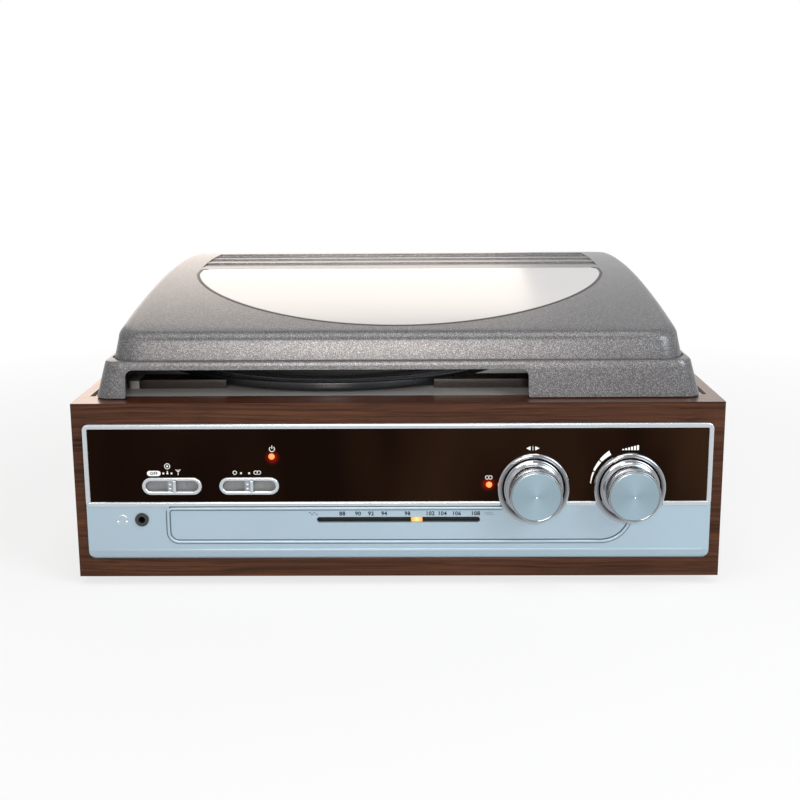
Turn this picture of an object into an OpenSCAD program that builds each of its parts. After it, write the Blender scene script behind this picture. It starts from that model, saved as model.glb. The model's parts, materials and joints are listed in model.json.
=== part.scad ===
// Table-top record player with a built-in stereo radio, in a wooden cabinet.
// X runs to the right, Y to the rear and Z up, with the feet standing on Z = 0 and the whole
// object centred in X and Y. Inside in_cabinet() the front board's face is Y = 0, the
// cabinet's underside is Z = 0 and its middle is X = 0: every size below is given there.

/* [Cabinet] */
// Outside width
cab_w = 335; // [330:1:350]
// Height without the feet
cab_h = 93; // [90:1:100]
// Depth, front to rear
cab_d = 285; // [282:1:300]
// Thickness of the side boards
side_t = 5.7; // [4:0.1:7]
// Depth of the front frame board
frame_d = 18.5; // [15:0.5:20]
// Thickness of the base board
base_t = 6; // [4:0.5:8]
// Thickness of the rear panel
rear_t = 3; // [2:0.5:5]
// Side of the square corner blocks
block_w = 12; // [8:1:16]
// Height of the rubber feet
foot_h = 5; // [3:0.5:10]
// Radius of the rubber feet
foot_r = 11; // [8:0.5:14]
// Distance of each foot's middle from the cabinet's outer faces
foot_inset = 32; // [20:1:45]
// Number of slots in front of each loudspeaker
grille_slots = 8; // [4:1:9]
// Distance between neighbouring grille slots
grille_pitch = 7; // [5:0.5:7]
// Width of one grille slot
grille_slot_w = 2.5; // [1.5:0.1:3.5]
// Height of the grille slots
grille_h = 46; // [30:1:50]

/* [Front panel] */
// Wood beside the panel
border_side = 5.5; // [4.5:0.1:8]
// Wood above the panel
border_top = 10.6; // [8:0.1:12]
// Wood below the panel
border_low = 9.7; // [8:0.1:11]
// How far the panel stands out of the wood
panel_proud = 0.8; // [0.4:0.1:1.5]
// Wall of the panel moulding
panel_wall = 2.4; // [2:0.1:3]
// Depth of the rebate that the panel sits in
rebate_d = 4; // [3.5:0.1:5]
// Width of the lip behind the panel
rebate_lip = 3; // [2:0.1:4]
// Radius of the panel's corners
panel_corner_r = 3.5; // [2:0.1:5]
// Height of the fascia's lower edge
fascia_low = 40.8; // [39:0.1:43]
// Margin of the panel round the fascia
fascia_margin = 2.4; // [1.8:0.1:3.5]
// Thickness of the fascia
fascia_t = 1.5; // [1:0.1:1.8]
// Width of the raised beads
bead_w = 1.2; // [0.8:0.1:2]
// Height of the raised beads
bead_h = 0.7; // [0.3:0.1:1]
// Height of the panel's lower bevel
bevel_h = 4.8; // [3:0.1:6]
// Distance of the raised tray line from the cabinet's left side
tray_left = 47.5; // [42:0.5:60]
// Distance of the raised tray line from the cabinet's right side
tray_right = 46; // [40:0.5:50]
// Height of the tray line's lower edge
tray_low = 18.6; // [17:0.1:21]

/* [Knobs] */
// Distance of the tuning knob's middle from the cabinet's right side
tuning_right = 97.3; // [93:0.1:100]
// Distance of the volume knob's middle from the cabinet's right side
volume_right = 47.8; // [42:0.1:50]
// Height of both knobs' middles
knob_z = 48; // [46:0.1:50]
// Outer radius of the bezel rings
ring_r = 18.75; // [17.5:0.05:20]
// Radius of the bezel rings' round section
ring_bead_r = 1.4; // [1:0.05:1.6]
// Radius of the knobs' base flange
knob_base_r = 15.4; // [14:0.1:15.6]
// Radius of the knobs' front face
knob_face_r = 12.35; // [11:0.05:13]
// How far the knobs stand out in front of the wood
knob_reach = 18.5; // [15:0.5:24]
// Radius of the control shafts
shaft_r = 3; // [2.5:0.1:3.5]
// Radius of the threaded bushes
bush_r = 4.5; // [4:0.1:5.5]

/* [Switches, lamps and socket] */
// Height of the two slide switches
switch_z = 49.5; // [47:0.1:54]
// Distance of the function switch from the cabinet's left side
function_left = 50.8; // [44:0.1:54]
// Distance of the stereo switch from the cabinet's left side
stereo_left = 90.8; // [86:0.1:94]
// Width of a switch bezel
bezel_w = 30.9; // [28:0.1:34]
// Height of a switch bezel
bezel_h = 9.1; // [8:0.1:11]
// Width of a bezel's rim
bezel_rim = 1.3; // [1:0.1:1.8]
// Width of a switch slider
slider_w = 4.5; // [3.5:0.1:6]
// Distance between the function switch's places
function_step = 2.2; // [1.5:0.1:3]
// Distance between the stereo switch's places
stereo_step = 4.2; // [3:0.1:5]
// Radius of the lamps
lamp_r = 1.5; // [1:0.1:2.5]
// Distance of the power lamp from the cabinet's left side
power_lamp_left = 102.7; // [100:0.1:110]
// Height of the power lamp
power_lamp_z = 65; // [60:0.1:70]
// Distance of the stereo lamp from the cabinet's right side
stereo_lamp_right = 120.2; // [118:0.1:124]
// Height of the stereo lamp
stereo_lamp_z = 49.7; // [45:0.1:54]
// Distance of the headphone socket from the cabinet's left side
jack_left = 34.3; // [30:0.1:40]
// Height of the headphone socket
jack_z = 31.4; // [28:0.1:34]
// Radius of the headphone socket's bore
jack_r = 1.8; // [1.75:0.05:1.9]
// Depth of the headphone socket's bore
jack_depth = 15; // [14:0.5:16]
// Outer radius of the headphone socket's collar
jack_collar_r = 3.55; // [3:0.05:4.5]

/* [Dial] */
// Distance of the dial slot's left end from the stereo switch's middle
slot_left = 34.6; // [32:0.1:40]
// Distance of the dial slot's right end from the tuning knob's middle
slot_right = 27.4; // [26:0.1:32]
// Height of the slot's middle
slot_z = 31; // [30:0.1:32]
// Height of the slot
slot_h = 3; // [2.4:0.1:4]
// Place of the pointer, as in the photo
pointer_x = 9.9; // [0:0.1:20]
// Width of the pointer
pointer_w = 6; // [4:0.1:7]
// Radius of the dial drum
drum_r = 22; // [19:0.5:22]
// Radius of the cord groove on the tuning shaft
cord_shaft_r = 8; // [7.5:0.1:8.5]
// Height of the drum's middle
drum_z = 31; // [30:0.1:31]
// Place of the drum, to the right
drum_x = 10; // [5:0.5:15]
// Radius of the peg that guides the cord at the left
guide_r = 4; // [3:0.5:5]
// Distance of the cord's guide peg from the dial slot's left end
guide_side = 5.9; // [4:0.1:10]
// Distance of the cord from the cabinet's front
cord_y = 22; // [22:0.5:23]
// Thickness of the dial cord
cord_t = 0.8; // [0.6:0.1:1]

/* [Lid] */
// Distance of the lid's foot from the cabinet's sides
lid_inset = 10; // [9:0.5:12]
// Distance of the lid's foot from the cabinet's front
lid_front = 9.5; // [8:0.5:10]
// Distance of the lid's foot from the cabinet's rear
lid_rear = 13; // [12:0.5:16]
// Wall of the lid
lid_wall = 2.5; // [2:0.1:3]
// Height of the lid's skirt
skirt_h = 19.8; // [18:0.1:24]
// How far the skirt leans in at the sides
skirt_lean = 5.2; // [3:0.1:7]
// Corner radius of the skirt
skirt_corner_r = 8; // [6:0.5:12]
// Ledge between the skirt and the dome, at the sides
ledge_side = 3; // [2:0.1:5]
// Ledge between the skirt and the dome, at the front
ledge_front = 4.5; // [3:0.1:6]
// Depth of the groove round the dome's foot
ledge_groove = 0.8; // [0.4:0.1:1.2]
// Lean of the dome's front face, per unit of height
front_lean = 0.25; // [0.1:0.01:0.35]
// Radius of the dome's arched top
dome_arc_r = 817; // [700:1:950]
// Height of the dome's crown over the deck
crown_h = 53.5; // [52:0.1:58]
// Distance of the crown from the cabinet's front
crown_y = 200; // [190:1:215]
// Corner radius of the dome, seen from above
dome_corner_r = 12; // [8:0.5:16]
// Radius that rounds the dome's upper edges
dome_edge_r = 5; // [3:0.5:7]
// Lean of the dome's sides, per unit of height
side_lean = 0.2; // [0.1:0.01:0.3]
// How far the gap in the front wall reaches past the platter at each side
gap_past = 4.5; // [2:0.5:6]
// Height of the gap
gap_h = 15; // [13:0.5:16]
// Corner radius of the gap
gap_r = 4; // [2:0.5:6]
// Radius of the half-moon window
window_r = 123; // [110:1:126]
// Distance of the window's straight edge from the front
window_y = 152; // [148:1:154]
// Thickness of the window
window_t = 1.5; // [1:0.1:1.6]
// Width of the lip under the window
window_lip = 3; // [2:0.5:5]
// Number of ribs behind the window
rib_count = 4; // [2:1:4]
// Distance of the last rib from the lid's foot at the rear
rib_rear = 31; // [28:0.5:60]
// Height of each rib's step
rib_step = 1.2; // [0.6:0.1:1.4]

/* [Hinges] */
// Distance of each hinge from the middle
hinge_x = 95; // [80:1:110]
// Radius of the hinge pins
hinge_pin_r = 2; // [1.5:0.1:2.5]
// Outer radius of the lid's hinge knuckles
knuckle_r = 4; // [3.5:0.1:4.5]
// Width of a hinge knuckle
knuckle_w = 22; // [16:1:26]
// Thickness of a hinge bracket's ears
ear_t = 4; // [3:0.5:5]
// Thickness of a hinge bracket's foot
bracket_foot = 2; // [1.5:0.1:2.5]

/* [Deck] */
// Groove between the deck and the side boards
deck_groove = 2.8; // [1:0.1:3.5]
// Thickness of the deck moulding
deck_t = 3; // [2.5:0.1:4]
// Height of the deck's raised part over its ledge
deck_rise = 4; // [3:0.1:5]
// Distance of the raised part from the cabinet's front
rise_y = 38; // [36:0.5:42]
// Depth of the dark trim along the raised part's front
trim_d = 16; // [12:0.5:20]
// How far the dark trim stops short of the platter's well at the left
trim_short = 0.3; // [0:0.1:4]
// Thickness of the dark trim
trim_t = 0.8; // [0.5:0.1:1.2]
// Distance of the control deck from the platter's well
control_gap = 4.3; // [3:0.1:6]
// Height of the control deck over the ledge
control_h = 4.9; // [4.2:0.1:6]

/* [Platter] */
// Distance of the platter from the cabinet's front
platter_front = 25; // [24:0.5:30]
// Distance of the platter from the cabinet's rear
platter_rear = 60; // [58:0.5:70]
// Distance of the platter from the cabinet's left side
platter_side = 31; // [30:0.5:40]
// Height of the platter's rim
platter_rim_h = 5; // [4:0.1:6]
// Gap under the platter's rim
platter_gap = 1.2; // [1:0.1:2]
// Gap between the platter and the raised deck
well_gap = 3.5; // [2:0.1:4]
// Thickness of the platter's disc
platter_t = 2.5; // [2:0.1:3]
// Width of the bare rim round the platter's mat
mat_margin = 15; // [10:0.5:20]
// Thickness of the platter mat
mat_t = 1.8; // [1:0.1:2.5]
// Distance of the rim that the belt drives from the platter's edge
drive_margin = 35; // [32:0.5:40]
// Radius of the record spindle
spindle_r = 3.6; // [3.5:0.01:3.63]
// Height of the spindle over the mat
spindle_h = 12; // [8:0.5:14]
// Radius of the spindle's shaft in its bearing
axle_r = 3; // [2.5:0.1:3.5]
// Depth of the well under the platter
well_depth = 6; // [5:0.5:8]
// Radius of the motor pulley
pulley_r = 5; // [4:0.1:6]
// Gap between the drive rim and the pulley
pulley_gap = 6; // [4:0.5:8]
// Direction of the pulley from the spindle, in degrees
pulley_angle = 150; // [140:1:165]
// Width of the drive belt
belt_w = 4; // [3:0.5:5]
// Thickness of the drive belt
belt_t = 0.8; // [0.6:0.1:1]
// Radius of the motor
motor_r = 16; // [14:0.5:18]
// Height of the motor
motor_h = 25; // [20:1:28]

/* [Tonearm] */
// Distance of the tonearm's pivot from the cabinet's right side
arm_side = 45.5; // [44:0.5:50]
// Distance of the tonearm's pivot from the cabinet's rear
arm_rear = 63; // [60:0.5:70]
// Distance of the resting stylus from the cabinet's front
arm_front = 34; // [32:0.5:60]
// Height of the arm tube's middle over the mat
arm_h = 10; // [9:0.5:11]
// Radius of the arm tube
arm_r = 3; // [2.5:0.1:3.5]
// Radius of the tonearm's base
arm_base_r = 17; // [15:0.5:19]
// Radius of the turret's post
turret_post_r = 5; // [4:0.5:6]
// Width of the arm's pivot block
pivot_block_w = 10; // [8:0.5:12]
// Distance of the arm rest from the cabinet's front
rest_front = 82; // [70:1:90]
// Distance of the cue bar from the pivot
cue_bar_l = 34; // [30:0.5:38]
// Length of the cue lever
cue_lever_l = 20; // [16:1:24]

/* [Deck controls] */
// Distance of the deck's two slide switches from the cabinet's right side
deck_switch_side = 29.5; // [28.5:0.5:30.5]
// Rest place of the speed slider
speed_y = 96; // [90:1:100]
// Distance between the speed switch's places
speed_step = 5; // [3:0.5:6]
// Rest place of the stop slider
stop_y = 142; // [136:1:150]
// Travel of the stop slider
stop_step = 5; // [3:0.5:6]
// Distance of the 45 adaptor's middle from the cabinet's left side
adaptor_side = 49.5; // [46:0.5:56]
// Distance of the 45 adaptor's middle from the cabinet's rear
adaptor_rear = 47; // [45:0.5:54]
// Radius of the 45 adaptor
adaptor_r = 19; // [18.9:0.05:19.1]

/* [Inner parts] */
// Radius of the loudspeakers
speaker_r = 33; // [30:0.5:34]
// Depth of the loudspeakers
speaker_d = 26; // [20:1:30]
// Distance of the loudspeakers from the cabinet's rear
speaker_rear = 135; // [120:1:150]
// Distance of the circuit board from the cabinet's front
board_y = 34; // [33:0.5:38]
// Radius of the line-out sockets
socket_r = 4.15; // [4.1:0.05:4.2]
// How far the line-out sockets stand out at the rear
socket_reach = 9; // [8:0.5:12]
// Radius of the mains lead that the gland is made for
lead_r = 3; // [2.5:0.1:3.5]

/* [Fits] */
// Radial clearance of shafts that turn in bores
turn_gap = 0.05; // [0.03:0.01:0.08]
// Gap between parts that slide past each other
slide_gap = 0.3; // [0.25:0.05:0.4]
// Gap round parts that are set in a recess
set_gap = 0.15; // [0.1:0.05:0.3]

/* [Hidden] */

// Fineness of round parts, and of the rounded parts inside a hull
$fn = 64;
hull_fn = 32;
// Length by which cuts run past a face
over = 1;

// Place of the cabinet in the object's own frame
front_y = -(cab_d + socket_reach - knob_reach) / 2;
side_in = cab_w / 2 - side_t;
rear_in = cab_d - rear_t;
deck_z = cab_h;
deck_half = side_in - deck_groove;
deck_low = deck_z - deck_t;

// Places along the front, from the cabinet's sides
function_x = -cab_w / 2 + function_left;
stereo_x = -cab_w / 2 + stereo_left;
tuning_x = cab_w / 2 - tuning_right;
volume_x = cab_w / 2 - volume_right;
power_lamp_at = [-cab_w / 2 + power_lamp_left, power_lamp_z];
stereo_lamp_at = [cab_w / 2 - stereo_lamp_right, stereo_lamp_z];
jack_at = [-cab_w / 2 + jack_left, jack_z];
tray_x0 = -cab_w / 2 + tray_left;
tray_x1 = cab_w / 2 - tray_right;
slot_x0 = stereo_x + slot_left;
slot_x1 = tuning_x - slot_right;
guide_x = slot_x0 - guide_side;

// Front panel and fascia
panel_half = cab_w / 2 - border_side;
panel_top = cab_h - border_top;
panel_back = panel_wall - panel_proud;
fascia_half = panel_half - fascia_margin + set_gap;
fascia_top = panel_top - fascia_margin - set_gap;
face_y = -panel_proud;

// Switch openings
bezel_in_w = bezel_w - 2 * bezel_rim;
bezel_in_h = bezel_h - 2 * bezel_rim;
bezel_wall = 0.35;
bezel_floor = 0.8;
bezel_depth = panel_back;
stem_w = 2;
stem_h = 2.4;
stem_reach = 6;
front_switches = [[function_x, 2 * function_step], [stereo_x, stereo_step]];

// Dial
dial_plate_y = 5.7;
dial_plate_t = 1.5;
dial_plate_top = 38.2;
dial_plate_low = 22;
dial_plate_half = slot_x1 + 8.2;
cord_z = knob_z + cord_shaft_r + slide_gap;
pointer_top = cord_z - slide_gap;
drum_core_w = 3;
drum_flange_t = 1;
drum_flange_h = 1.3;

// Lid
lid_half = cab_w / 2 - lid_inset;
lid_back = cab_d - lid_rear;
lid_z = deck_z + slide_gap;
skirt_z = deck_z + skirt_h;
skirt_top_half = lid_half - skirt_lean;
skirt_front_lean = 1.5;
foot_half = skirt_top_half - ledge_side;
dome_y0 = lid_front + skirt_front_lean + ledge_front;
dome_y1 = lid_back - ledge_side;
crown_z = deck_z + crown_h;
lid_top_z = crown_z + over;

// Hinges
hinge_y = lid_back + knuckle_r + 1.5;
hinge_z = deck_z + bracket_foot + knuckle_r + 0.5;
ear_r = knuckle_r + 0.5;

// Deck and platter
rise_half = cab_w / 2 - 21.5;
rise_back = lid_back - 10;
rise_z = deck_z + deck_rise;
control_z = deck_z + control_h;
rise_wall = deck_t + 1;
platter_r = (cab_d - platter_front - platter_rear) / 2;
spin_x = -cab_w / 2 + platter_side + platter_r;
spin_y = platter_front + platter_r;
mat_r = platter_r - mat_margin;
drive_r = platter_r - drive_margin;
spindle_neck_r = spindle_r - 0.4;
rim_low = deck_z + platter_gap;
rim_top = rim_low + platter_rim_h;
mat_top = rim_top + mat_t;
disc_low = rim_top - platter_t;
well_r = platter_r + well_gap;
well_floor = deck_z - well_depth;
control_x = spin_x + well_r + control_gap;
trim_x0 = spin_x - well_r + trim_short;
gap_x0 = spin_x - platter_r - gap_past;
gap_x1 = spin_x + platter_r + gap_past;
pan_low = well_floor - deck_t;
pulley_l = drive_r + pulley_gap + pulley_r;
pan_r = pulley_l + pulley_r + 5;
pulley_x = spin_x + pulley_l * cos(pulley_angle);
pulley_y = spin_y + pulley_l * sin(pulley_angle);
drive_low = well_floor + 2.5;
hub_r = 12;
hub_low = well_floor + 1.5;
bearing_r = 6;
bearing_h = 25;
motor_shaft_r = 1;
belt_z = drive_low + 0.9;
pulley_flange_t = 0.6;

// Tonearm
arm_x = cab_w / 2 - arm_side;
arm_y = cab_d - arm_rear;
arm_z = mat_top + arm_h;
arm_low = arm_z - arm_r - slide_gap;
arm_base_z = control_z + 4;
turret_z = arm_base_z + slide_gap;
stylus_y = arm_front;
stylus_z = mat_top + 1.8;
headshell_l = 26;
cartridge_z = stylus_z + 2;
headshell_z = arm_z - 1.5;
pivot_pin_r = 1.5;
cheek_t = 3;
cue_angle = 250;
cue_x = arm_x + cue_bar_l * cos(cue_angle);
cue_y = arm_y + cue_bar_l * sin(cue_angle);
cue_stem_r = 2;
cue_guide_r = 4.5;
lever_x = arm_x + 12;
lever_y = arm_y - 18;
lever_z = arm_base_z + 4.3;
lever_r = 3.5;

// Deck controls
deck_switch_x = cab_w / 2 - deck_switch_side;
cap_w = 7;
cap_l = 6;
cap_t = 1.6;
cap_ridge = 3.2;
deck_switches = [[speed_y, 2 * speed_step], [stop_y, stop_step]];
adaptor_at = [-cab_w / 2 + adaptor_side, cab_d - adaptor_rear];
adaptor_sunk = 4;
adaptor_t = 3;
adaptor_slope = 2;
adaptor_hole_l = 11;
adaptor_hole_r = 4;
adaptor_z = rise_z - adaptor_sunk;

// Points of an arc about (x, y) from angle a0 to angle a1
function arc(x, y, r, a0, a1, n = 8) =
    [for (i = [0 : n]) let (a = a0 + (a1 - a0) * i / n) [x + r * cos(a), y + r * sin(a)]];

// Moves the cabinet's own frame to its place in the object's frame
module in_cabinet() translate([0, front_y, foot_h]) children();

// Box between its low corner and its high corner
module block(low, high) translate(low) cube(high - low);

// Round rods along each axis
module rod_x(y, z, r, x0, x1) translate([x0, y, z]) rotate([0, 90, 0]) cylinder(r = r, h = x1 - x0);
module rod_y(x, z, r, y0, y1) translate([x, y0, z]) rotate([-90, 0, 0]) cylinder(r = r, h = y1 - y0);
module rod_z(x, y, r, z0, z1) translate([x, y, z0]) cylinder(r = r, h = z1 - z0);

// Revolved part whose axis points forward at (x, z): the outline's second value is the
// distance in front of the plane Y = y0
module turned_y(x, z, y0) translate([x, y0, z]) rotate([90, 0, 0]) rotate_extrude() children();

// Plate that stands upright: its outline is given in X and Z, and it fills Y from y0 to y1
module upright(y0, y1) translate([0, y1, 0]) rotate([90, 0, 0]) linear_extrude(y1 - y0) children();

// Rounded rectangle between two corners
module round_rect(x0, x1, y0, y1, r) {
    translate([x0 + r, y0]) square([x1 - x0 - 2 * r, y1 - y0]);
    translate([x0, y0 + r]) square([x1 - x0, y1 - y0 - 2 * r]);
    for (x = [x0 + r, x1 - r], y = [y0 + r, y1 - r]) translate([x, y]) circle(r = r);
}

// Slot with round ends between two points on a level line
module level_slot(x0, x1, y, h) round_rect(x0, x1, y - h / 2, y + h / 2, h / 2 - 0.001);

// ---------------------------------------------------------------- cabinet

// Wooden front board with the rebated opening for the panel
module front_frame() color("#4a2b1d") in_cabinet() difference() {
    block([-cab_w / 2, 0, 0], [cab_w / 2, frame_d, cab_h]);
    upright(-over, rebate_d)
        round_rect(-panel_half, panel_half, border_low, panel_top, panel_corner_r);
    upright(-over, frame_d + over)
        square_between(-panel_half + rebate_lip, panel_half - rebate_lip,
            border_low + rebate_lip, panel_top - rebate_lip);
}

// Plain rectangle between two corners
module square_between(x0, x1, y0, y1) translate([x0, y0]) square([x1 - x0, y1 - y0]);

// Side board with the slots in front of its loudspeaker; side is -1 at the left, 1 at the right
module side_board(side) color("#52301f") in_cabinet() difference() {
    block([side > 0 ? side_in : -cab_w / 2, frame_d, 0],
        [side > 0 ? cab_w / 2 : -side_in, cab_d, cab_h]);
    for (i = [0 : grille_slots - 1])
        translate([0, speaker_y + (i - (grille_slots - 1) / 2) * grille_pitch, speaker_z])
            grille_slot(side);
}
module side_board_left() side_board(-1);
module side_board_right() side_board(1);

// One upright slot with round ends through a side board
module grille_slot(side) translate([side * (cab_w - side_t) / 2, 0, 0]) {
    cube([side_t + 2 * over, grille_slot_w, grille_h - grille_slot_w], center = true);
    for (z = [-1, 1]) translate([0, 0, z * (grille_h - grille_slot_w) / 2]) rotate([0, 90, 0])
        cylinder(r = grille_slot_w / 2, h = side_t + 2 * over, center = true);
}
speaker_z = (base_t + deck_low) / 2;
speaker_y = cab_d - speaker_rear;

// Base board between the side boards
module base_board() color("#5b3a28") in_cabinet()
    block([-side_in, frame_d, 0], [side_in, rear_in, base_t]);

// Rear panel with air slots and the holes for the sockets and the gland
module rear_panel() color("#2a2624") in_cabinet() difference() {
    block([-side_in, rear_in, 0], [side_in, cab_d, cab_h]);
    for (x = socket_xs) rod_y(x, socket_z, socket_r + set_gap, rear_in - over, cab_d + over);
    rod_y(gland_x, gland_z, gland_r + set_gap, rear_in - over, cab_d + over);
    for (i = [0 : vent_count - 1]) upright(rear_in - over, cab_d + over)
        level_slot(vent_x - vent_w / 2, vent_x + vent_w / 2, vent_z + i * vent_pitch, vent_h);
}
socket_xs = [-60, -42];
socket_z = 45;
gland_side = 57.5;
gland_x = cab_w / 2 - gland_side;
gland_z = 26;
gland_r = 5.4;
vent_count = 5;
vent_x = 20;
vent_w = 70;
vent_z = 30;
vent_pitch = 8;
vent_h = 3;

// Square battens in the cabinet's corners, which carry the deck
module corner_blocks() color("#b08a5e") in_cabinet()
    for (x = [-side_in, side_in - block_w], y = [frame_d, rear_in - block_w])
        block([x, y, base_t], [x + block_w, y + block_w, deck_low]);

// Tapered rubber feet
module feet() color("#1b1b1b") in_cabinet()
    for (x = [-1, 1], y = [foot_inset, cab_d - foot_inset])
        translate([x * (cab_w / 2 - foot_inset), y, -foot_h])
            cylinder(r1 = foot_r - 1, r2 = foot_r, h = foot_h);

// ---------------------------------------------------------------- front panel

// Silver panel: a thin face with a bevel along its foot, a wall that rests on the frame's lip,
// a pocket for the fascia, raised beads and posts for the dial plate
module front_panel() color("#a9bac6") in_cabinet() {
    difference() {
        union() {
            intersection() {
                panel_body();
                upright(face_y, rebate_d) panel_outline(set_gap);
            }
            beads();
        }
        upright(panel_back, rebate_d + over) panel_outline(set_gap + panel_wall);
        upright(face_y - over, face_y + fascia_t) fascia_outline(0);
        panel_holes();
    }
    for (x = [-1, 1], z = dial_post_zs)
        rod_y(x * dial_post_x, z, dial_post_r, panel_back, dial_plate_y);
}
dial_post_x = dial_plate_half - 3;
dial_post_r = 2;
dial_post_zs = [dial_plate_low + 3, dial_plate_top - 3];

// The panel's section, with its lower bevel, drawn out along X
module panel_body() translate([-panel_half, 0, 0]) rotate([90, 0, 90]) linear_extrude(2 * panel_half)
    polygon([
        [face_y, border_low + bevel_h], [face_y, panel_top], [rebate_d, panel_top],
        [rebate_d, border_low], [face_y + 1.6, border_low]
    ]);
module panel_outline(inset)
    round_rect(-panel_half + inset, panel_half - inset, border_low + inset, panel_top - inset,
        max(panel_corner_r - inset, 1));
module fascia_outline(inset)
    round_rect(-fascia_half + inset, fascia_half - inset, fascia_low + inset, fascia_top - inset, 1);

// Raised lines: one frames the fascia, one is the tray line below it, both broken by the rings
module beads() difference() {
    upright(face_y - bead_h, face_y + 0.2) {
        difference() {
            fascia_outline(-bead_w);
            fascia_outline(0);
        }
        difference() {
            tray_outline(0);
            tray_outline(bead_w);
        }
    }
    for (x = [tuning_x, volume_x]) rod_y(x, knob_z, ring_r + set_gap, face_y - 2, face_y + 2);
}

// Tray outline: tight corners at the left, a wide one at the right, and its top on the fascia's bead
module tray_outline(inset) polygon(concat(
    arc(tray_x0 + tray_left_r, tray_low + tray_left_r, tray_left_r - inset, 180, 270),
    arc(tray_x1 - tray_right_r, tray_low + tray_right_r, tray_right_r - inset, 270, 360),
    [[tray_x1 - inset, tray_top - inset], [tray_x0 + inset, tray_top - inset]]
));
tray_left_r = 6;
tray_right_r = 16;
tray_top = fascia_low - bead_w / 2;

// Holes through the panel, and through the fascia where they cross it
module panel_holes() {
    for (s = front_switches) upright(face_y - over, panel_back + over)
        level_slot(s[0] - bezel_in_w / 2 - bezel_wall - set_gap,
            s[0] + bezel_in_w / 2 + bezel_wall + set_gap, switch_z,
            bezel_in_h + 2 * bezel_wall + 2 * set_gap);
    for (at = [power_lamp_at, stereo_lamp_at])
        rod_y(at[0], at[1], lamp_r + set_gap / 2, face_y - over, panel_back + over);
    for (x = [tuning_x, volume_x])
        rod_y(x, knob_z, bush_r + set_gap, face_y - over, panel_back + over);
    rod_y(jack_at[0], jack_at[1], jack_barrel_r + set_gap, face_y - over, panel_back + over);
    upright(face_y - over, panel_back + over) level_slot(slot_x0, slot_x1, slot_z, slot_h);
}

// Glossy black fascia, set in its pocket
module black_fascia() color("#14100e") in_cabinet() difference() {
    upright(face_y, face_y + fascia_t) fascia_outline(set_gap);
    panel_holes();
}

// ---------------------------------------------------------------- knobs

// Chrome bezel rings round the knobs
module knob_rings() color("silver") in_cabinet() for (x = [tuning_x, volume_x])
    turned_y(x, knob_z, face_y) {
        translate([ring_r - 2 * ring_bead_r, 0]) square([2 * ring_bead_r, ring_bead_r]);
        translate([ring_r - ring_bead_r, ring_bead_r]) circle(r = ring_bead_r);
    }

// Turned knob: a flange at its foot, a slightly tapered body and a rim round the spun face
knob_gap = 1.4;
knob_top = knob_reach - panel_proud;
knob_face_y = knob_top - 0.8;
knob_bore = shaft_r + 0.01;
module knob(x) color("silver") in_cabinet() turned_y(x, knob_z, face_y) polygon(concat(
    [
        [knob_bore, knob_gap], [knob_base_r, knob_gap], [knob_base_r, knob_gap + 1.2],
        [knob_base_r - 0.6, knob_gap + 1.6], [knob_base_r - 1.6, knob_gap + 1.8]
    ],
    arc(knob_face_r + 0.6, knob_top - 1, 0.9, 30, 90, 4),
    [[knob_face_r, knob_top - 0.1], [knob_face_r, knob_face_y], [knob_bore, knob_face_y]]
));
module knob_face(x) color("#c9d3d8") in_cabinet()
    rod_y(x, knob_z, knob_face_r - 0.05, face_y - knob_face_y - 0.6, face_y - knob_face_y);
module tuning_knob() knob(tuning_x);
module volume_knob() knob(volume_x);
module tuning_knob_face() knob_face(tuning_x);
module volume_knob_face() knob_face(volume_x);

// Threaded bush with its front flange and its nut behind the panel
bush_flange_r = 8;
bush_nut_r = 7;
bush_nut_t = 2.5;
module bush(x, y1) {
    rod_y(x, knob_z, bush_flange_r, face_y - 0.8, face_y);
    rod_y(x, knob_z, bush_r, face_y - 0.1, y1);
    translate([x, panel_back, knob_z]) rotate([-90, 0, 0]) cylinder(r = bush_nut_r, h = bush_nut_t, $fn = 6);
}
bush_end = 14;
module tuning_bush() color("#b59a4c") in_cabinet() difference() {
    bush(tuning_x, bush_end);
    rod_y(tuning_x, knob_z, shaft_r + turn_gap, face_y - 2, bush_end + over);
}

// Tuning shaft, with the flanged groove that drives the dial cord
module tuning_shaft() color("#8f9296") in_cabinet() {
    rod_y(tuning_x, knob_z, shaft_r, face_y - knob_face_y, cord_y - drum_core_w / 2 + 0.1);
    rod_y(tuning_x, knob_z, cord_shaft_r, cord_y - drum_core_w / 2, cord_y + drum_core_w / 2);
    for (y = [cord_y - drum_core_w / 2 - drum_flange_t, cord_y + drum_core_w / 2])
        rod_y(tuning_x, knob_z, cord_shaft_r + drum_flange_h, y, y + drum_flange_t);
}

// Volume control: bush, nut and round body with a blind bore for its shaft
pot_r = 9;
pot_end = 16;
module volume_control() color("#7d8184") in_cabinet() difference() {
    union() {
        bush(volume_x, panel_back + bush_nut_t + 0.1);
        rod_y(volume_x, knob_z, pot_r, panel_back + bush_nut_t, pot_end);
    }
    rod_y(volume_x, knob_z, shaft_r + turn_gap, face_y - 2, pot_end - 2);
}
module volume_shaft() color("#8f9296") in_cabinet()
    rod_y(volume_x, knob_z, shaft_r, face_y - knob_face_y, pot_end - 2 - slide_gap);

// ---------------------------------------------------------------- switches, lamps, socket

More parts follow.
